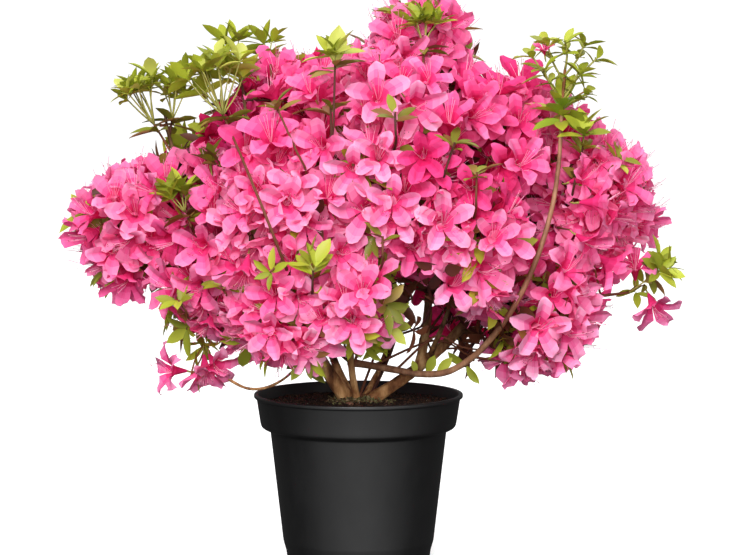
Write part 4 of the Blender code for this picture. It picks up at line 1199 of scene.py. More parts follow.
def flower_guard(foot, facing, roll, size, share=GUARD_SIZE):
    """A flower's turn, its guard and its full outline."""
    turn = facing_frame(facing, roll)
    spun = np.array(turn).T * size
    guard = star @ (spun * share) + np.array(foot) + np.array(facing) * GUARD_FORWARD * size
    tree = BVHTree.FromPolygons(guard.tolist(), star_faces)
    return turn, tree, np.array(foot) + np.array(facing) * MIDDLE_FORWARD, star @ spun + np.array(foot)


def open_flower(name, foot, size, turn, tree, middle, tint, rng):
    """Puts one flower there and keeps others off it."""
    guards.keep(tree, middle, FLOWER_REACH, flower=True)
    verts, corners, sizes, lobes, shares = rng.choice(flower_shapes)
    petals = (verts, corners, sizes, petal_pinks(lobes, shares, tint, rng))
    parts["petals"][name].add(petals, turn, foot, size)
    parts["stamens"][name].add(rng.choice(stamen_shapes), turn, foot, size)


def add_leaf(name, foot, out, upward, roll, size, tints, rng, free=False, forms=OLD_LEAVES):
    """A leaf, where it crosses nothing; a free one is kept off the flowers alone."""
    turn = leaf_frame(out, upward, roll)
    long = LEAF_LENGTH * size
    wide = turn @ Vector((0, LEAF_GUARD * size, 0))
    middle = foot + out * long * 0.55
    corners = [foot + out * 0.006, middle + wide, foot + out * long * 0.95, middle - wide]
    tree = BVHTree.FromPolygons([corner[:] for corner in corners], [(0, 1, 2, 3)])
    reach = np.array([corner[:] for corner in corners])
    if (reach < FRAME_LOW - LEAF_PAST).any() or (reach > FRAME_HIGH + LEAF_PAST).any():
        return
    if not guards.free(tree, np.array(middle), long / 2, of_flowers=free):
        return
    if not free and (touches_limb(tree) or not in_outline(name, reach, LEAF_SLACK)):
        return
    guards.keep(tree, np.array(middle), long / 2)
    parts["leaves"][name].add(rng.choice(forms), turn, foot, size, rng.choice(tints))


def whorl(name, tip, axis, count, rise, sizes, tints, rng, free=False, step=0.0010, forms=OLD_LEAVES):
    """Leaves spread round a twig just below its tip, rising from it by so many degrees."""
    roll = rng.uniform(0, math.tau)
    side = axis.orthogonal().normalized()
    for index in range(count):
        across = Matrix.Rotation(roll + math.tau * index / count + rng.uniform(-0.2, 0.2), 3, axis) @ side
        lean = math.radians(rise + rng.uniform(-16, 16))
        out = (axis * math.sin(lean) + across * math.cos(lean)).normalized()
        foot = tip - axis * step * (index + 1)
        add_leaf(name, foot, out, axis, rng.uniform(-0.4, 0.4), rng.uniform(*sizes), tints, rng, free, forms)


def add_twig(name, points, foot, tip, look, sides=5, ring=0.008):
    """A smooth twig through some points, tapering from its foot's radius to its tip's."""
    curve = smoothed(points, ring)
    radii = np.linspace(foot, tip, len(curve))
    parts["twigs"][name].add(tube(curve, radii, sides), look=look)


def guard_twig(points):
    """Keeps later flowers off the bare length of a twig."""
    line = [along_points(points, share) for share in (0.25, 0.88)]
    guards.keep(hull_of(line, 0.0008, 3), np.array((line[0] + line[1]) / 2), (line[1] - line[0]).length / 2)


def bent(start, end, rng, amount=0.10):
    """Three points of a twig that bends a little on its way."""
    length = (end - start).length
    stray = Vector([rng.uniform(-1, 1) for _ in range(3)]) * amount * length
    return [start, (start + end) / 2 + stray, end]


def add_pedicel(name, tip, foot):
    """The thin stalk of one flower, thicker where it meets the calyx."""
    middle = (tip + foot) / 2 + Vector((0, 0, -0.0008))
    add_twig(name, [tip, middle, foot], PEDICEL_RADIUS, PEDICEL_RADIUS * 1.9, YELLOW_GREEN, 4, 0.006)


def mass_stem(name):
    """The line of a mass's own stem, on from its carrier's tip and then in towards its centre."""
    carrier = carriers[name]
    base = carrier[-1]
    heading = (carrier[-1] - carrier[-2]).normalized()
    hub = Vector(SPACES[name][0]).lerp(base, HUB_BACK)
    return [base, base + heading * STRAIGHT_ON * (hub - base).length, hub]


mass_lines = {name: mass_stem(name) for name in SPACES}
# The two bare stalks that no flower hides: a slanting one at the left, as seen in mm with its
# depth, and the bowed bough's rise
SLANTING_SEEN = [(-69, 273, -0.176), (-84, 312, -0.186), (-106, 366, -0.158), (-122, 403, -0.100)]
CLEAR_REACH = 0.024
CLEAR_DEPTH = 0.012
slanting_stalk = [on_sight(*spot) for spot in SLANTING_SEEN]
CLEAR_LINES = list(zip(slanting_stalk, slanting_stalk[1:])) + list(zip(bowed_line[4:], bowed_line[5:]))


# The blossom at the front. The open flowers that face the viewer, each at the end of its
# own twig from the stem of the mass that it belongs to.
FRONT_FLOWERS = [  # seen at x and z in mm, turned right and up in degrees, and how much deeper its pink is: partly its own tone, partly painted shade where it sits in shade or in a set-back part
    (-202, 314, 15, -5, 0), (-221, 330, -25, 25, 1), (-202, 338, 10, 45, 2), (-209, 289, -30, -25, 1),
    (-246, 315, -70, 0, 4), (-244, 293, -60, -40, 4), (-137, 357, 0, 50, 4), (-112, 304, -35, 20, 0),
    (-173, 346, -10, 40, 3), (-166, 309, -60, 10, 3), (-169, 287, -20, -40, 5), (-137, 273, -60, -10, 1),
    (-103, 257, -20, -60, 1), (-211, 250, -35, -45, 4), (-144, 244, 0, -10, 2), (-173, 246, -50, -10, 3),
    (-75, 442, 20, 50, 4), (18, 420, -10, 5, 0), (52, 410, 35, -15, 0), (36, 474, -20, 20, 3),
    (18, 365, 5, 0, 0), (-5, 352, 0, 0, 0), (-80, 385, -20, 40, 4), (-35, 374, -20, 10, 2),
    (-36, 422, 0, 30, 4), (47, 453, 20, -20, 2), (-60, 341, -10, 30, 1), (-84, 335, -30, 30, 1),
    (-100, 374, -10, 20, 5), (59, 364, 0, 0, 7), (-54, 320, -25, 25, 0), (-37, 295, 0, 20, 0),
    (32, 309, 5, 10, 0), (6, 316, -30, 0, 1), (-12, 276, 40, -20, 1), (-78, 240, -30, 10, 3),
    (-72, 204, -10, -40, 1), (-36, 218, -25, 10, 0), (-43, 196, 10, -10, 1), (-4, 212, 0, 20, 0),
    (17, 212, 25, 10, 0), (-12, 240, 0, 50, 2), (82, 402, -10, 35, 4), (114, 395, 30, 20, 5),
    (77, 306, 0, 0, 0), (124, 294, 0, 5, 1), (137, 291, 20, 10, 1), (216, 357, 5, 0, 1),
    (168, 352, -40, 0, 2), (173, 322, -30, 0, 2), (195, 306, -45, -15, 1), (189, 385, 20, 20, 3),
    (145, 398, 0, 20, 5), (126, 426, 10, 60, 7), (146, 432, 10, 60, 7), (136, 355, 20, 0, 6),
    (97, 440, 30, 30, 4), (68, 358, 0, 10, 7), (88, 250, 5, 0, 0), (115, 261, 60, -20, 1),
    (122, 230, 20, -50, 2), (164, 210, 5, 5, 0), (192, 204, 25, -10, 0), (200, 239, 60, -15, 1),
    (191, 264, 30, 10, 2), (152, 170, 10, -60, 2), (130, 180, -30, -30, 1), (230, 321, 30, 5, 2),
    (251, 315, 60, 0, 2), (261, 301, 65, -25, 2), (244, 342, 40, 30, 3), (198, 290, 20, 0, 2),
    (65, 492, 10, 30, 3), (85, 481, 50, 10, 3), (74, 458, 20, 0, 3), (-115, 270, -20, 0, 3),
    (-62, 270, 0, 10, 3), (-189, 326, -10, 20, 2), (42, 335, 10, 20, 5), (-26, 335, 0, 30, 2),
    (101, 335, 0, 10, 6), (50, 283, 10, 0, 4), (-98, 281, -10, 20, 2), (146, 256, 0, 0, 3),
]
FRONT_BACKS = (0.004, 0.012, 0.020, 0.030, 0.042, 0.055, 0.070)  # tried one by one behind the crown's front
FRONT_STRAY = 18
FRONT_SIZES = (0.90, 1.12)
FRONT_GUARD = 0.62
FACE_DEPTH = 0.020
CALYX = 0.009
SHADE_DULLED_SIDE = 30  # painted shade: how far to the left of the hollow, in mm, the leaves are still dulled


def heading_of(yaw, pitch):
    """A direction as seen from the front: yaw to the right and pitch upwards, in degrees."""
    yaw, pitch = math.radians(yaw), math.radians(pitch)
    return Vector((math.sin(yaw) * math.cos(pitch), -math.cos(yaw) * math.cos(pitch), math.sin(pitch)))


rng = random.Random("front flowers")
for x, z, yaw, pitch, tint in FRONT_FLOWERS:
    depth, name = front_of(x, z)
    for back in FRONT_BACKS:
        stray_yaw = rng.uniform(-FRONT_STRAY, FRONT_STRAY)
        facing = heading_of(yaw + stray_yaw, pitch + rng.uniform(-FRONT_STRAY, FRONT_STRAY))
        size = rng.uniform(*FRONT_SIZES)
        middle_spot = on_sight(x, z, depth + back)
        foot = middle_spot - facing * FACE_DEPTH
        turn, tree, middle, full = flower_guard(foot, facing, rng.gauss(0, 0.25), size, FRONT_GUARD)
        if (full < FRAME_LOW).any() or (full > FRAME_HIGH).any() or hides_stalk(Vector(middle)):
            continue
        if guards.free(tree, middle, FLOWER_REACH) and not touches_limb(tree):
            break
    else:
        continue
    tree = flower_guard(foot, facing, 0.0, size)[1]
    open_flower(name, foot, size, turn, tree, middle, tint, rng)
    tip = foot - facing * CALYX
    root = along_points(mass_lines[name], rng.uniform(0.4, 1.0))
    add_pedicel(name, tip, foot)
    bend = tip - facing * 0.010
    points = [root, (root + bend) / 2, bend, tip]
    add_twig(name, points, FINE_RADIUS * 1.2, FINE_RADIUS * 0.8, rng.choice(WOODY))
    guard_twig([root, bend])
    if rng.random() < 0.5:
        count = rng.randint(3, 4)
        # leaves in and beside the hollow are dulled as painted shade
        green = SHADE_DULLED_TINTS if HOLLOW[0] - SHADE_DULLED_SIDE < x < HOLLOW[1] and z < HOLLOW[3] else GREEN
        whorl(name, tip, facing, count, 5, LEAF_SIZES, green if rng.random() < 0.35 else OLIVE, rng)


# The leafy shoots. Bare reddish stalks that stand up out of the blossom; each ends in a
# whorl of olive leaves, and in the larger ones pale new stalks rise with bright leaves.
SHOOTS = [  # tip and foot as seen in mm, how far it stands out, new stalks, their length and spread, tints
    ((-184, 394), (-169, 362), 0.000, 10, 0.040, 30, FRESH),
    ((-168, 398), (-163, 370), 0.000, 6, 0.032, 26, FRESH),
    ((-122, 403), (-69, 273), 0.012, 13, 0.045, 42, FRESH),
    ((-112, 458), (-104, 425), 0.000, 3, 0.012, 40, GREEN),
    ((-80, 460), (-78, 430), 0.000, 2, 0.010, 40, GREEN),
    ((-21, 448), (-23, 369), 0.010, 3, 0.009, 34, FRESH),
    ((-25, 410), (-24, 369), 0.008, 0, 0.0, 0, OLIVE),
    ((33, 404), (34, 378), 0.008, 0, 0.0, 0, OLIVE),
    ((-75, 413), (-47, 350), 0.008, 0, 0.0, 0, OLIVE),
    ((87, 378), (74, 339), 0.008, 0, 0.0, 0, OLIVE),
    ((107, 351), (106, 315), 0.008, 0, 0.0, 0, OLIVE),
    ((22, 293), (22, 269), 0.012, 0, 0.0, 0, OLIVE),
    ((-41, 262), (-42, 240), 0.014, 2, 0.006, 70, GREEN),
    ((-80, 260), (-66, 275), 0.012, 0, 0.0, 0, GREEN),
    ((-157, 315), (-149, 297), 0.012, 5, 0.020, 40, GREEN),
    ((-132, 344), (-137, 312), 0.006, 3, 0.016, 40, OLIVE),
    ((-163, 235), (-152, 218), 0.008, 0, 0.0, 0, GREEN),
    ((-124, 249), (-118, 235), 0.010, 0, 0.0, 0, GREEN),
    ((59, 465), (58, 435), 0.008, 5, 0.020, 36, GREEN),
    ((30, 497), (36, 476), 0.002, 0, 0.0, 0, GREEN),
    ((203, 375), (192, 326), 0.006, 2, 0.012, 40, GREEN),
    ((236, 364), (223, 349), 0.002, 0, 0.0, 0, GREEN),
    ((188, 182), (172, 188), 0.002, 0, 0.0, 0, GREEN),
    ((-82, 188), (-66, 194), 0.004, 0, 0.0, 0, GREEN),
]
STALK_BENDS = (0.3, 0.65)
STALK_BEHIND = 0.016
STALK_BEFORE = 0.004
STALK_RADIUS = 0.0012
STOUT_STALK = 1.4
THIN_STALK = 1.15
# The stalks that rise from the far left bough, by their tip's x: where they leave it and their
# tip's depth. Then the x of the slanting stalk's tip, and of the one that ends in a tall leaf.
FAR_LEFT_STALKS = {-184: (0.68, -0.018), -168: (0.86, -0.010)}
FAR_LEFT_ROOT = 0.60
SLANTING_TIP = -122
TALL_LEAF_TIP = -21
TALL_LEAF_SIZE = 1.15
NEW_STALK_RADII = (0.00085, 0.00065)
RIGHT_WHORLS = [  # height above the bough, leaves, how steeply they rise, and their sizes
    (0.000, 8, 4, (0.9, 1.15)), (0.005, 8, 26, (0.9, 1.2)), (0.011, 7, 50, (0.8, 1.05)),
]
RIGHT_STALKS = [  # tip as seen in mm, its depth, and where it leaves the shoot
    (155, 458, -0.054, 0.4), (170, 468, -0.060, 0.8), (186, 470, -0.064, 1.0), (204, 468, -0.052, 0.9),
    (215, 454, -0.050, 0.6), (199, 443, -0.066, 0.5), (206, 425, -0.066, 0.3), (166, 446, -0.066, 0.5),
]
HALF_OPEN = 0.40


def add_umbel(name, tip, axis, stalks, length, spread, tints, rng):
    """A lower whorl of older leaves and a fan of new stalks, each with its own whorl of rising leaves."""
    lower = OLIVE if stalks > 2 else tints
    sizes = (0.75, 1.0) if stalks > 2 else (0.52, 0.86)
    whorl(name, tip, axis, rng.randint(6, 8), 8 if stalks > 2 else 26, sizes, lower, rng, free=True)
    roll = rng.uniform(0, math.tau)
    side = axis.orthogonal().normalized()
    for index in range(stalks):
        ring = math.sqrt((index + 0.3) / max(stalks, 1)) * rng.uniform(0.9, 1.1)
        across = Matrix.Rotation(roll + 2.4 * index, 3, axis) @ side
        lean = math.radians(spread) * ring
        out = (axis * math.cos(lean) + across * math.sin(lean)).normalized()
        end = tip + out * length * rng.uniform(0.78, 1.12)
        add_twig(name, bent(tip, end, rng, 0.06), *NEW_STALK_RADII, YELLOW_GREEN, 4, 0.007)
        heading = (out + axis * 0.6 + Vector((0, 0, 0.3))).normalized()
        for rise, most in ((20, 4), (50, 5)):
            top = end + heading * rise * 0.00005
            whorl(
                name, top, heading, rng.randint(3, most), rise, (0.5, 0.92), tints, rng,
                free=True, step=0.0006, forms=NEW_LEAVES,
            )


rng = random.Random("leafy shoots")
for (x, z), (foot_x, foot_z), proud, stalks, length, spread, tints in SHOOTS:
    depth, name = front_of(foot_x, foot_z)
    foot = on_sight(foot_x, foot_z, depth + STALK_BEHIND)
    low_depth = depth - STALK_BEFORE
    tip_depth = min(front_of(x, z)[0], depth + 0.03) - proud
    middles = []
    for share in STALK_BENDS:
        mid_x = foot_x + (x - foot_x) * share
        mid_z = foot_z + (z - foot_z) * share
        middles.append(on_sight(mid_x, mid_z, low_depth + (tip_depth - low_depth) * share))
    tip = on_sight(x, z, tip_depth)
    root = along_points(mass_lines[name], 0.7)
    if x in FAR_LEFT_STALKS:
        name = "far_left_shoot"
        share, tip_depth = FAR_LEFT_STALKS[x]
        foot = along_points(carriers[name], share)
        tip = on_sight(x, z, tip_depth)
        root = along_points(carriers[name], FAR_LEFT_ROOT)
        middles = []
    if x == SLANTING_TIP:
        name = "left_shoot"
        foot, *middles, tip = slanting_stalk
    axis = ((tip - foot).normalized() + Vector((0, -0.1, 0.45))).normalized()
    thick = THIN_STALK if stalks < 6 else STOUT_STALK
    points = [root, (root + foot) / 2 + Vector((0, 0.006, 0)), foot, *middles, tip]
    add_twig(name, points, STALK_RADIUS * thick, STALK_RADIUS * 0.8, rng.choice(REDDISH), 6)
    add_umbel(name, tip, axis, stalks, length, spread, tints, rng)
    if x == TALL_LEAF_TIP:
        up = Vector((0.05, -0.1, 1)).normalized()
        towards = Vector((0, -1, 0))
        add_leaf(name, tip, up, towards, 0.1, TALL_LEAF_SIZE, FRESH[:1], rng, free=True, forms=BROADEST_LEAF)

rng = random.Random("right shoot")
line = mass_lines["right_shoot"]
add_twig("right_shoot", line, 0.0018, 0.0014, TAN, 6, LIMB_RING)
low = line[0]
upright = Vector((0.05, -0.15, 1)).normalized()
for lift, count, rise, sizes in RIGHT_WHORLS:
    place = low + upright * lift
    whorl("right_shoot", place, upright, count, rise, sizes, BRIGHT, rng, free=True, forms=NEW_LEAVES)
for x, z, depth, share in RIGHT_STALKS:
    end = on_sight(x, z, depth)
    start = along_points(line, share)
    add_twig("right_shoot", bent(start, end, rng, 0.08), 0.0012, 0.0008, rng.choice((TAN, YELLOW_GREEN)))
    heading = ((end - start).normalized() + Vector((0, 0, 0.5))).normalized()
    whorl("right_shoot", end, heading, 6, 30, (0.5, 0.80), GREEN, rng, free=True, forms=NEW_LEAVES)
    halfway = start.lerp(end, 0.6)
    whorl("right_shoot", halfway, heading, 3, 24, (0.45, 0.75), GREEN, rng, free=True, forms=NEW_LEAVES)
bud_facing = heading_of(-20, 60)
bud_foot = on_sight(168, 456, -0.058)
bud_turn, tree, middle, _ = flower_guard(bud_foot, bud_facing, 0.0, HALF_OPEN)
open_flower("right_shoot", bud_foot, HALF_OPEN, bud_turn, tree, middle, 4, rng)
add_pedicel("right_shoot", bud_foot - bud_facing * 0.006, bud_foot)
line = mass_lines["left_shoot"]
add_twig("left_shoot", line, 0.0016, 0.0012, DARK, 6, LIMB_RING)
leaning = Vector((-0.2, 0.2, 1)).normalized()
whorl("left_shoot", line[-1], leaning, 9, 34, (0.7, 1.0), GREEN, rng, free=True)


# The two low sprays. A few flowers and leaves on a long thin bare twig: one hangs by the
# pot's lip at the left, and one stands off at the right.
SEED = 1
SPRAY_FLOWERS = {
    "low_left_spray": [(-175, 171, -65, 5, 1.5), (-139, 166, 10, -60, 1.5), (-128, 172, 30, -35, 0.5)],
    "right_outlier": [(250, 270, -10, 62, 3), (270, 225, 25, -45, 1)],
}
SPRAY_SIZE = 0.98
TUFT = (266, 258)  # as seen in mm
for name, flowers in SPRAY_FLOWERS.items():
    rng = random.Random(f"{name} {SEED}")
    line = mass_lines[name]
    add_twig(name, line, 0.0015, 0.0011, RED_BROWN, 6, LIMB_RING)
    depth = SPACES[name][0][1]
    for x, z, yaw, pitch, tint in flowers:
        facing = heading_of(yaw, pitch)
        foot = on_sight(x, z, depth) - facing * FACE_DEPTH
        turn, tree, middle, _ = flower_guard(foot, facing, 0.2, SPRAY_SIZE)
        open_flower(name, foot, SPRAY_SIZE, turn, tree, middle, tint, rng)
        tip = foot - facing * 0.010
        add_pedicel(name, tip, foot)
        add_twig(name, bent(line[-1], tip, rng, 0.08), FINE_RADIUS * 1.2, FINE_RADIUS * 0.8, TAN)
        whorl(name, tip, facing, 4, 0, LEAF_SIZES, GREEN, rng)
    if name == "right_outlier":
        tuft = on_sight(*TUFT, depth)
        add_twig(name, bent(line[-1], tuft, rng, 0.06), FINE_RADIUS, FINE_RADIUS * 0.8, YELLOW_GREEN)
        add_umbel(name, tuft, Vector((0.6, -0.2, 0.5)).normalized(), 3, 0.012, 46, GREEN, rng)


# The twigs under the crown. Thin dark shoots off the stems and the lower boughs, mostly
# bare, some with a few leaves darkened as painted shade; a few bright leaves sit on the bowed bough.
UNDER_TWIGS = [  # points as seen in mm, their depth, and the leaves at the end: 0 none, 1 darkened as painted shade, 2 green
    ([(33, 207), (70, 202), (94, 192), (128, 188)], -0.035, 1),
    ([(31, 203), (69, 198), (101, 184)], -0.020, 1),
    ([(39, 176), (71, 188), (97, 192), (118, 205)], 0.010, 1),
    ([(56, 189), (71, 198), (84, 214)], 0.020, 1),
    ([(94, 192), (97, 174)], -0.035, 2),
    ([(60, 200), (67, 187)], 0.010, 0),
    ([(101, 169), (154, 176), (182, 185)], -0.062, 2),
    ([(-8, 158), (-12, 190), (-14, 208), (-20, 232)], -0.020, 1),
    ([(1, 158), (-1, 190), (-6, 212), (-4, 236)], -0.026, 1),
    ([(7, 158), (16, 188), (22, 207), (20, 236)], -0.012, 1),
    ([(12, 160), (30, 188), (33, 207), (30, 240)], 0.000, 1),
    ([(30, 195), (36, 208), (33, 236), (26, 262)], 0.015, 1),
    ([(-8, 178), (-26, 194), (-40, 214)], -0.010, 1),
    ([(-60, 196), (-85, 190), (-112, 196)], -0.050, 0),
    ([(-118, 262), (-152, 258), (-186, 259), (-205, 268)], -0.030, 0),
    ([(40, 188), (58, 204), (78, 213), (100, 226)], 0.004, 1),
    ([(62, 205), (78, 226), (92, 244)], 0.010, 1),
    ([(50, 196), (62, 214), (72, 236)], 0.050, 1),
    ([(80, 214), (92, 222), (112, 222)], 0.045, 1),
    ([(56, 214), (66, 222), (62, 244)], -0.010, 1),
    ([(60, 226), (70, 246), (84, 262)], 0.035, 1),
]
BOUGH_LEAVES = [(53, 174, 0.42, 100), (62, 176, 0.62, 62), (74, 177, 0.66, 48)]  # place in mm, size, turn
UNDER_RADIUS = 0.0014
UNDER_SIZE = 0.95
# painted shade: the deep pinks of the flowers under the crown
UNDER_SHADE_TINT = (7.0, 10.0)
TRUSS_STALK = 0.008
UNDER_PLACES = 300
UNDER_SIDES = ((50, 126), (202, 288), (0.012, 0.082))  # as seen in mm from side to side and up, and in depth


def nearest_mass(point):
    """How far out in the nearest mass's space a point lies, 1 at its surface, and the mass."""
    best = (9.0, None)
    for name in FULL_MASSES:
        centre, half = SPACES[name]
        away = math.sqrt(sum(((point[k] - centre[k]) / half[k]) ** 2 for k in range(3)))
        best = min(best, (away, name))
    return best


def nearest_on_limbs(point, among=lines):
    """The point of the stems and boughs that lies nearest."""
    best = None
    for line in among.values():
        for spot in line:
            away = (spot - point).length
            if best is None or away < best[0]:
                best = (away, spot)
    return best[1]


rng = random.Random("under twigs")
for _ in range(UNDER_PLACES):
    x, z, depth = (rng.uniform(*side) for side in UNDER_SIDES)
    facing = heading_of(rng.uniform(-70, 70), rng.uniform(-50, 50))
    foot = on_sight(x, z, depth) - facing * FACE_DEPTH
    name = nearest_mass(foot)[1]
    turn, tree, middle, full = flower_guard(foot, facing, rng.gauss(0, 0.4), UNDER_SIZE)
    if not in_edges(full, shaded=True) or not guards.free(tree, middle, FLOWER_REACH) or touches_limb(tree):
        continue
    # deep pink as painted shade under the crown
    open_flower(name, foot, UNDER_SIZE, turn, tree, middle, rng.uniform(*UNDER_SHADE_TINT), rng)
    tip = foot - facing * TRUSS_STALK
    add_pedicel(name, tip, foot)
    add_twig(name, bent(nearest_on_limbs(tip), tip, rng), FINE_RADIUS * 1.3, FINE_RADIUS, DARK)
    # leaves darkened as painted shade under the flower
    whorl(name, tip, facing, 5, -10, (0.6, 1.0), PAINTED_SHADE_TINTS, rng, free=True)
for seen_points, depth, leaves in UNDER_TWIGS:
    name = front_of(*seen_points[-1])[1]
    path = [on_sight(x, z, depth + 0.003 * step) for step, (x, z) in enumerate(seen_points)]
    path[0] = nearest_on_limbs(path[0])
    add_twig(name, path, UNDER_RADIUS, 0.0008, rng.choice(REDDISH), 6, 0.006)
    heading = (path[-1] - path[-2]).normalized()
    if leaves:
        # the leaves without their own green are darkened as painted shade
        tints = PAINTED_SHADE_TINTS if leaves == 1 else GREEN
        whorl(name, path[-1], heading, rng.randint(4, 6), 24, (0.6, 0.95), tints, rng, free=leaves == 1)
for x, z, size, turn in BOUGH_LEAVES:
    spot = on_sight(x, z - 6, -0.05)
    foot = min((along_points(bowed_line, k / 60) for k in range(61)), key=lambda point: (point - spot).length)
    out = Vector((math.cos(math.radians(turn)), -0.3, math.sin(math.radians(turn)))).normalized()
    towards = Vector((0, -1, 0.3))
    add_leaf("centre_low", foot, out, towards, 0.2, size, BRIGHT, rng, free=True, forms=BROAD_LEAVES)


# The rest of the crown. The seeded rule fills every mass all round: outer trusses first,
# then deeper ones in pinks deepened as painted shade, leafy twigs between them, and leaves darkened as
# painted shade inside.
CROWN_MIDDLE = Vector((0.010, 0.015, 0.300))
CROWN_CENTRE = Vector((0.010, 0.012, 0.330))
CROWN_HALF = (0.262, 0.185, 0.190)
SHELLS = ((0.86, 1.05), (0.62, 0.90))
TWIGS = 24
TWIG_ROOT = (0.25, 1.0)
TWIG_RADIUS = 0.00115
FORK_REACH = 0.42
FINE_TWIGS = 3
TRIES = 16
STRAY = 0.45
DEEPEST = 0.56
OUTWARD = 0.45
JITTER = 0.15
TRUSS_BACK = 0.0300
TRUSS_COUNTS = (1, 2, 3, 3, 4)
TRUSS_LEAN = {1: 10, 2: 34, 3: 46, 4: 54}
PEDICEL = (0.006, 0.011)
WHORL = (2, 4)
LEAFY_TWIGS = 0.10
INNER_TWIGS = 40
RECESSES = [(46, 142, 304, 397), (-162, -46, 355, 424)]  # the set-back parts' sides, as of the hollow
GAP_PLACES = 2000
GAP_DEPTH = (0.60, 0.98)
GAP_AWAY = 1.5
GAP_TINT = 2.0
GAP_SHADE_DEEPER = 12  # painted shade: how much deeper the tint gets from the surface to the middle, as the next two
MASS_SHADE_DEEPER = 14
CROWN_SHADE_DEEPER = 8
# painted shade: flowers in the set-back parts are deeper pink
RECESS_SHADE_DEEPER = 5.0
RECESS_CLEAR = 0.036
HOLLOW_BACK = 0.02
RECESS_BACK = 0.05
TRUSS_WANDER = 0.45
INNER_REACH = (0.35, 0.8)
INNER_LIMBS = {name: line for name, line in lines.items() if not name.startswith("bowed_bough")}
INNER_LIMBS.update({name: mass_lines[name] for name in FULL_MASSES})


def depth_in_crown(point):
    """How near to the crown's surface a point is: 0 in its middle and about 1 outside."""
    return math.sqrt(sum(((point[k] - CROWN_CENTRE[k]) / CROWN_HALF[k]) ** 2 for k in range(3)))


def line_is_free(start, end):
    """True where a twig from start to end would cross no flower, leaf or twig."""
    along = end - start
    length = along.length * 0.93
    middle = np.array((start + end) / 2)
    for index in guards.near(middle, length / 2):
        if guards.trees[index].ray_cast(start, along.normalized(), length)[0] is not None:
            return False
    return True


def add_truss(name, tip, axis, rng, tint):
    """The flowers of one truss that fit round a twig's tip; says how many were kept."""
    count = rng.choice(TRUSS_COUNTS)
    roll = rng.uniform(0, math.tau)
    side = axis.orthogonal().normalized()
    kept = 0
    for index in range(count):
        across = Matrix.Rotation(roll + math.tau * index / count + rng.uniform(-0.3, 0.3), 3, axis) @ side
        lean = math.radians(TRUSS_LEAN[count] + rng.uniform(-12, 12))
        facing = (axis * math.cos(lean) + across * math.sin(lean)).normalized()
        size = rng.uniform(*FLOWER_SIZES)
        foot = tip + facing * rng.uniform(*PEDICEL)
        turn, tree, middle, full = flower_guard(foot, facing, rng.gauss(0, 0.35), size)
        if not in_outline(name, full) or not in_edges(full):
            continue
        if hides_stalk(Vector(middle)) or not guards.free(tree, middle, FLOWER_REACH) or touches_limb(tree):
            continue
        open_flower(name, foot, size, turn, tree, middle, tint + rng.uniform(-0.8, 0.8), rng)
        add_pedicel(name, tip, foot)
        kept += 1
    return kept


def directions(count, outward, rng):
    """Directions spread over a sphere, leaning outwards, with a seeded turn and jitter."""
    golden = math.pi * (3 - math.sqrt(5))
    turn = rng.uniform(0, math.tau)
    for index in range(count):
        height = 1 - 2 * (index + 0.5) / count
        around = math.sqrt(1 - height ** 2)
        heading = turn + golden * index
        spot = Vector((around * math.cos(heading), around * math.sin(heading), height))
        jitter = Vector([rng.uniform(-1, 1) for _ in range(3)])
        yield (spot + OUTWARD * outward + JITTER * jitter).normalized()


def in_hollow(point):
    """True in the dark open place in front, where the stems and the inner twigs are seen."""
    x, z = from_front([point[:]])
    return HOLLOW[0] < x[0] < HOLLOW[1] and HOLLOW[2] < z[0] < HOLLOW[3]


def in_recess(point):
    """The depth of the crown's front at a point that is seen in one of its set-back parts, or None."""
    x, z = from_front([point[:]])
    for left, right, low, high in RECESSES:
        if left < x[0] < right and low < z[0] < high:
            return front_of(x[0], z[0])[0]
    return None


def fine_twig(name, fork, out, half, centre, reach, rng):
    """One fine twig with its truss or its leaves, where it fits; says whether it grew."""
    leafy = rng.random() < LEAFY_TWIGS
    for _ in range(TRIES):
        stray = Vector([rng.uniform(-1, 1) for _ in range(3)]) * STRAY
        lean = (out + stray).normalized()
        share = rng.uniform(*reach)
        front = Vector([lean[k] * half[k] for k in range(3)]) * share
        tip = centre + front - lean * (TRUSS_BACK * (0.5 if leafy else 1.0))
        depth = depth_in_crown(tip + lean * TRUSS_BACK)
        if depth < DEEPEST or not in_edges([tip[:]]) or not line_is_free(fork, tip):
            continue
        if in_hollow(tip) and tip.y < HOLLOW_BACK:
            continue
        set_back = in_recess(tip)
        if set_back and tip.y < set_back + RECESS_CLEAR:
            continue
        crown_out = (tip - CROWN_MIDDLE).normalized()
        wander = Vector([rng.uniform(-1, 1) for _ in range(3)]) * TRUSS_WANDER
        axis = (lean * 0.45 + crown_out * 0.65 + Vector((0, 0, 0.15)) + wander).normalized()
        if leafy:
            tints = GREEN if rng.random() < 0.5 else OLIVE
            whorl(name, tip, axis, rng.randint(5, 7), 26, (0.7, 1.0), tints, rng)
        else:
            # painted shade: the further in a truss sits, and in a set-back part, the deeper its pinks
            deeper = max(0.0, 1.0 - share) * MASS_SHADE_DEEPER + max(0.0, 1.0 - depth) * CROWN_SHADE_DEEPER
            recessed = RECESS_SHADE_DEEPER if set_back and tip.y < RECESS_BACK else 0.0
            tint = deeper + rng.uniform(-1.2, 1.6) + recessed
            if not add_truss(name, tip, axis, rng, tint):
                continue
            tints = OLIVE if rng.random() < 0.4 else GREEN
            whorl(name, tip - axis * 0.002, axis, rng.randint(*WHORL), 8, LEAF_SIZES, tints, rng)
        points = bent(fork, tip, rng)
        add_twig(name, points, FINE_RADIUS * 1.15, FINE_RADIUS * 0.8, rng.choice(WOODY))
        guard_twig(points)
        return True
    return False


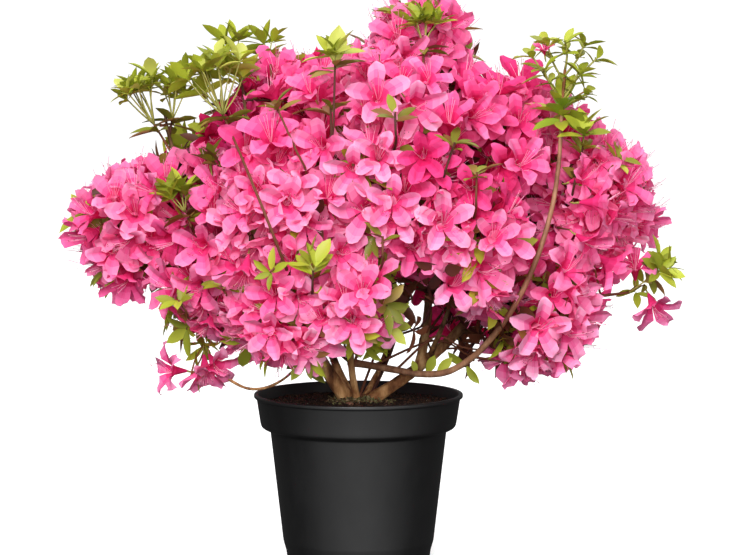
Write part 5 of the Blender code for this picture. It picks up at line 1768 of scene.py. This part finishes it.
def grow_shell(name, line, reach, rng):
    """One shell of a mass: twigs, and their forks into finer ones."""
    centre, half = SPACES[name]
    centre = Vector(centre)
    outward = (centre - CROWN_MIDDLE).normalized()
    for index, out in enumerate(list(directions(TWIGS, outward, rng))):
        low, high = TWIG_ROOT
        root = along_points(line, low + (high - low) * (index + 0.5) / TWIGS)
        fork = centre + Vector([out[k] * half[k] for k in range(3)]) * FORK_REACH
        grown = [fine_twig(name, fork, out, half, centre, reach, rng) for _ in range(FINE_TWIGS)]
        if any(grown):
            twig = bent(root, fork, rng)
            add_twig(name, twig, TWIG_RADIUS * 1.15, TWIG_RADIUS * 0.85, rng.choice(WOODY))


def grow_inside(name, line, rng):
    """Leaves darkened as painted shade, on short twigs in the inner part of a mass."""
    centre, half = SPACES[name]
    centre = Vector(centre)
    for out in directions(INNER_TWIGS, (CROWN_MIDDLE - centre).normalized(), rng):
        tip = centre + Vector([out[k] * half[k] for k in range(3)]) * rng.uniform(*INNER_REACH)
        if not in_edges([tip[:]], shaded=True) or not line_is_free(line[-1], tip):
            continue
        points = bent(along_points(line, rng.uniform(0.3, 1.0)), tip, rng)
        add_twig(name, points, FINE_RADIUS, FINE_RADIUS * 0.7, DARK, 4, 0.014)
        # leaves darkened as painted shade inside the mass
        whorl(name, tip, out, rng.randint(4, 5), 20, (0.7, 1.0), PAINTED_SHADE_TINTS, rng)


def fill_gaps(rng):
    """Flowers on twigs of their own where the masses leave a gap in the crown, their pinks deepened as
    painted shade the further in they sit.
    """
    for _ in range(GAP_PLACES):
        facing = Vector([rng.gauss(0, 1) for _ in range(3)]).normalized()
        share = rng.uniform(*GAP_DEPTH)
        middle_spot = CROWN_CENTRE + Vector([facing[k] * CROWN_HALF[k] for k in range(3)]) * share
        away, name = nearest_mass(middle_spot)
        set_back = in_recess(middle_spot)
        if away > GAP_AWAY or in_hollow(middle_spot):
            continue
        if set_back and middle_spot.y < set_back + RECESS_CLEAR:
            continue
        facing = (facing + Vector([rng.gauss(0, 0.25) for _ in range(3)])).normalized()
        foot = middle_spot - facing * FACE_DEPTH
        size = rng.uniform(*FLOWER_SIZES)
        turn, tree, middle, full = flower_guard(foot, facing, rng.gauss(0, 0.5), size)
        if not in_edges(full) or hides_stalk(Vector(middle)) or touches_limb(tree):
            continue
        if not guards.free(tree, middle, FLOWER_REACH):
            continue
        # painted shade: deeper pinks further in
        open_flower(name, foot, size, turn, tree, middle, GAP_TINT + (1.0 - share) * GAP_SHADE_DEEPER, rng)
        tip = foot - facing * TRUSS_STALK
        add_pedicel(name, tip, foot)
        points = bent(nearest_on_limbs(tip, INNER_LIMBS), tip, rng)
        add_twig(name, points, FINE_RADIUS * 1.4, FINE_RADIUS, rng.choice(WOODY))


for name in FULL_MASSES:
    add_twig(name, mass_lines[name], 0.0016, 0.0012, RED_BROWN, 7, LIMB_RING)
for reach in SHELLS:
    for name in FULL_MASSES:
        grow_shell(name, mass_lines[name], reach, random.Random(f"{name} {SEED} {reach[0]}"))
fill_gaps(random.Random("gaps"))
for name in FULL_MASSES:
    grow_inside(name, mass_lines[name], random.Random(f"{name} inside"))


# The pieces. Petals, stamens, leaves and twigs are each joined into a few meshes, mass by
# mass in order, and together they stand for the solid of each mass.
MOST_TRIANGLES = 190000
KINDS = {
    "petals": ("blossom", petal_looks, "blossom"),
    "stamens": ("stamens", stamen_looks, "blossom"),
    "leaves": ("leaves", leaf_looks, "foliage"),
    "twigs": ("twigs", twig_looks, "bark"),
}
for kind, (title, looks, slot) in KINDS.items():
    groups = [[Sprays(), []]]
    for name in SPACES:
        own = parts[kind][name]
        if not own.count:
            continue
        if groups[-1][0].triangles + own.triangles > MOST_TRIANGLES:
            groups.append([Sprays(), []])
        groups[-1][0].take(own)
        groups[-1][1].append(name)
    for index, (sprays, names) in enumerate(groups):
        nodes = []
        if kind == "petals":
            nodes = names
        if kind == "leaves":
            nodes = [name for name in names if name in SHOOT_MASSES]
        show(f"{title}_{index + 1}", sprays.mesh(f"{title}_{index + 1}"), looks, slot, nodes)


# The studio. A plain white floor and background, with a large soft light at the camera's
# left, a lower one behind the camera, a weak one at the right and one above from behind.
FLOOR_RADIUS = 4.0
FLOOR_WHITE = (0.85, 0.85, 0.85)
FLOOR_GLOW = 0.62
FLOOR_DROP = 0.0005
CAMERA_AIM = Vector((0.0105, 0.0, 0.2555))
LENS = 161.76
BACKGROUND_WHITE = 1.1
FRONT_GLOW = 1.35
FRONT_GLOW_FROM = -0.12
FRONT_GLOW_FULL = -0.92
SKY = [(0.0, 0.04), (0.42, 0.07), (0.55, 0.20), (0.75, 0.50), (1.0, 0.75)]

floor_mesh = bmesh.new()
bmesh.ops.create_circle(floor_mesh, cap_ends=True, segments=96, radius=FLOOR_RADIUS)
floor_data = bpy.data.meshes.new("studio_floor")
floor_mesh.to_mesh(floor_data)
floor_mesh.free()
floor_look, floor_shader = surface("studio_white", FLOOR_WHITE, roughness=0.9, specular=0.0)
floor_shader.inputs["Emission Color"].default_value = (1, 1, 1, 1)
floor_shader.inputs["Emission Strength"].default_value = FLOOR_GLOW
floor_data.materials.append(floor_look)
floor = bpy.data.objects.new("studio_floor", floor_data)
floor.location = (0, 0, -FLOOR_DROP)
floor.visible_diffuse = False
floor.visible_glossy = False
bpy.context.scene.collection.objects.link(floor)


def soft_light(name, place, aim, size, power):
    """A square soft light that faces the plant."""
    data = bpy.data.lights.new(name, "AREA")
    data.shape = "SQUARE"
    data.size = size
    data.energy = power
    lamp = bpy.data.objects.new(name, data)
    lamp.location = place
    lamp.rotation_euler = (Vector(aim) - Vector(place)).to_track_quat("-Z", "Y").to_euler()
    bpy.context.scene.collection.objects.link(lamp)


soft_light("key_light", (-0.5, -2.5, 1.7), (0, 0, 0.3), 1.2, 92)
soft_light("front_light", (0.1, -3.5, 0.75), (0, 0, 0.2), 1.1, 44)
soft_light("fill_light", (1.7, -1.9, 0.9), (0, 0, 0.3), 1.2, 10)
soft_light("top_light", (0.3, 0.9, 2.4), (0, 0, 0.3), 1.4, 20)

world = bpy.data.worlds.new("studio")
world.use_nodes = True
nodes = world.node_tree.nodes
link = world.node_tree.links.new
background = nodes["Background"]
place = nodes.new("ShaderNodeTexCoord")
split = nodes.new("ShaderNodeSeparateXYZ")
height = nodes.new("ShaderNodeMapRange")
height.inputs["From Min"].default_value = -1.0
sky = nodes.new("ShaderNodeValToRGB")
for (position, grey), element in zip(SKY[:1] + SKY[-1:], sky.color_ramp.elements):
    element.position = position
    element.color = (grey, grey, grey, 1)
for position, grey in SKY[1:-1]:
    sky.color_ramp.elements.new(position).color = (grey, grey, grey, 1)
link(place.outputs["Generated"], split.inputs["Vector"])
link(split.outputs["Z"], height.inputs["Value"])
link(height.outputs["Result"], sky.inputs["Fac"])
link(sky.outputs["Color"], background.inputs["Color"])
background.inputs["Strength"].default_value = 1.0
seen_white = nodes.new("ShaderNodeBackground")
seen_white.inputs["Color"].default_value = (1, 1, 1, 1)
seen_white.inputs["Strength"].default_value = BACKGROUND_WHITE
path = nodes.new("ShaderNodeLightPath")
# the pale ground that the pot's plastic mirrors from in front
towards_front = nodes.new("ShaderNodeMapRange")
towards_front.inputs["From Min"].default_value = FRONT_GLOW_FROM
towards_front.inputs["From Max"].default_value = FRONT_GLOW_FULL
towards_front.inputs["To Max"].default_value = FRONT_GLOW
mirrored = nodes.new("ShaderNodeMath")
mirrored.operation = "MULTIPLY"
ground = nodes.new("ShaderNodeBackground")
together = nodes.new("ShaderNodeAddShader")
link(split.outputs["Y"], towards_front.inputs["Value"])
link(towards_front.outputs["Result"], mirrored.inputs[0])
link(path.outputs["Is Glossy Ray"], mirrored.inputs[1])
link(mirrored.outputs["Value"], ground.inputs["Strength"])
link(background.outputs["Background"], together.inputs[0])
link(ground.outputs["Background"], together.inputs[1])
either = nodes.new("ShaderNodeMixShader")
link(path.outputs["Is Camera Ray"], either.inputs["Fac"])
link(together.outputs["Shader"], either.inputs[1])
link(seen_white.outputs["Background"], either.inputs[2])
link(either.outputs["Shader"], nodes["World Output"].inputs["Surface"])
bpy.context.scene.world = world
bpy.context.scene.view_settings.view_transform = "Standard"

camera_data = bpy.data.cameras.new("camera")
camera_data.lens = LENS
camera_data.sensor_width = 36
camera_data.clip_end = 50
camera = bpy.data.objects.new("camera", camera_data)
camera.location = CAMERA_SIDE
camera.rotation_euler = (CAMERA_AIM - CAMERA_SIDE).to_track_quat("-Z", "Y").to_euler()
bpy.context.scene.collection.objects.link(camera)
bpy.context.scene.camera = camera
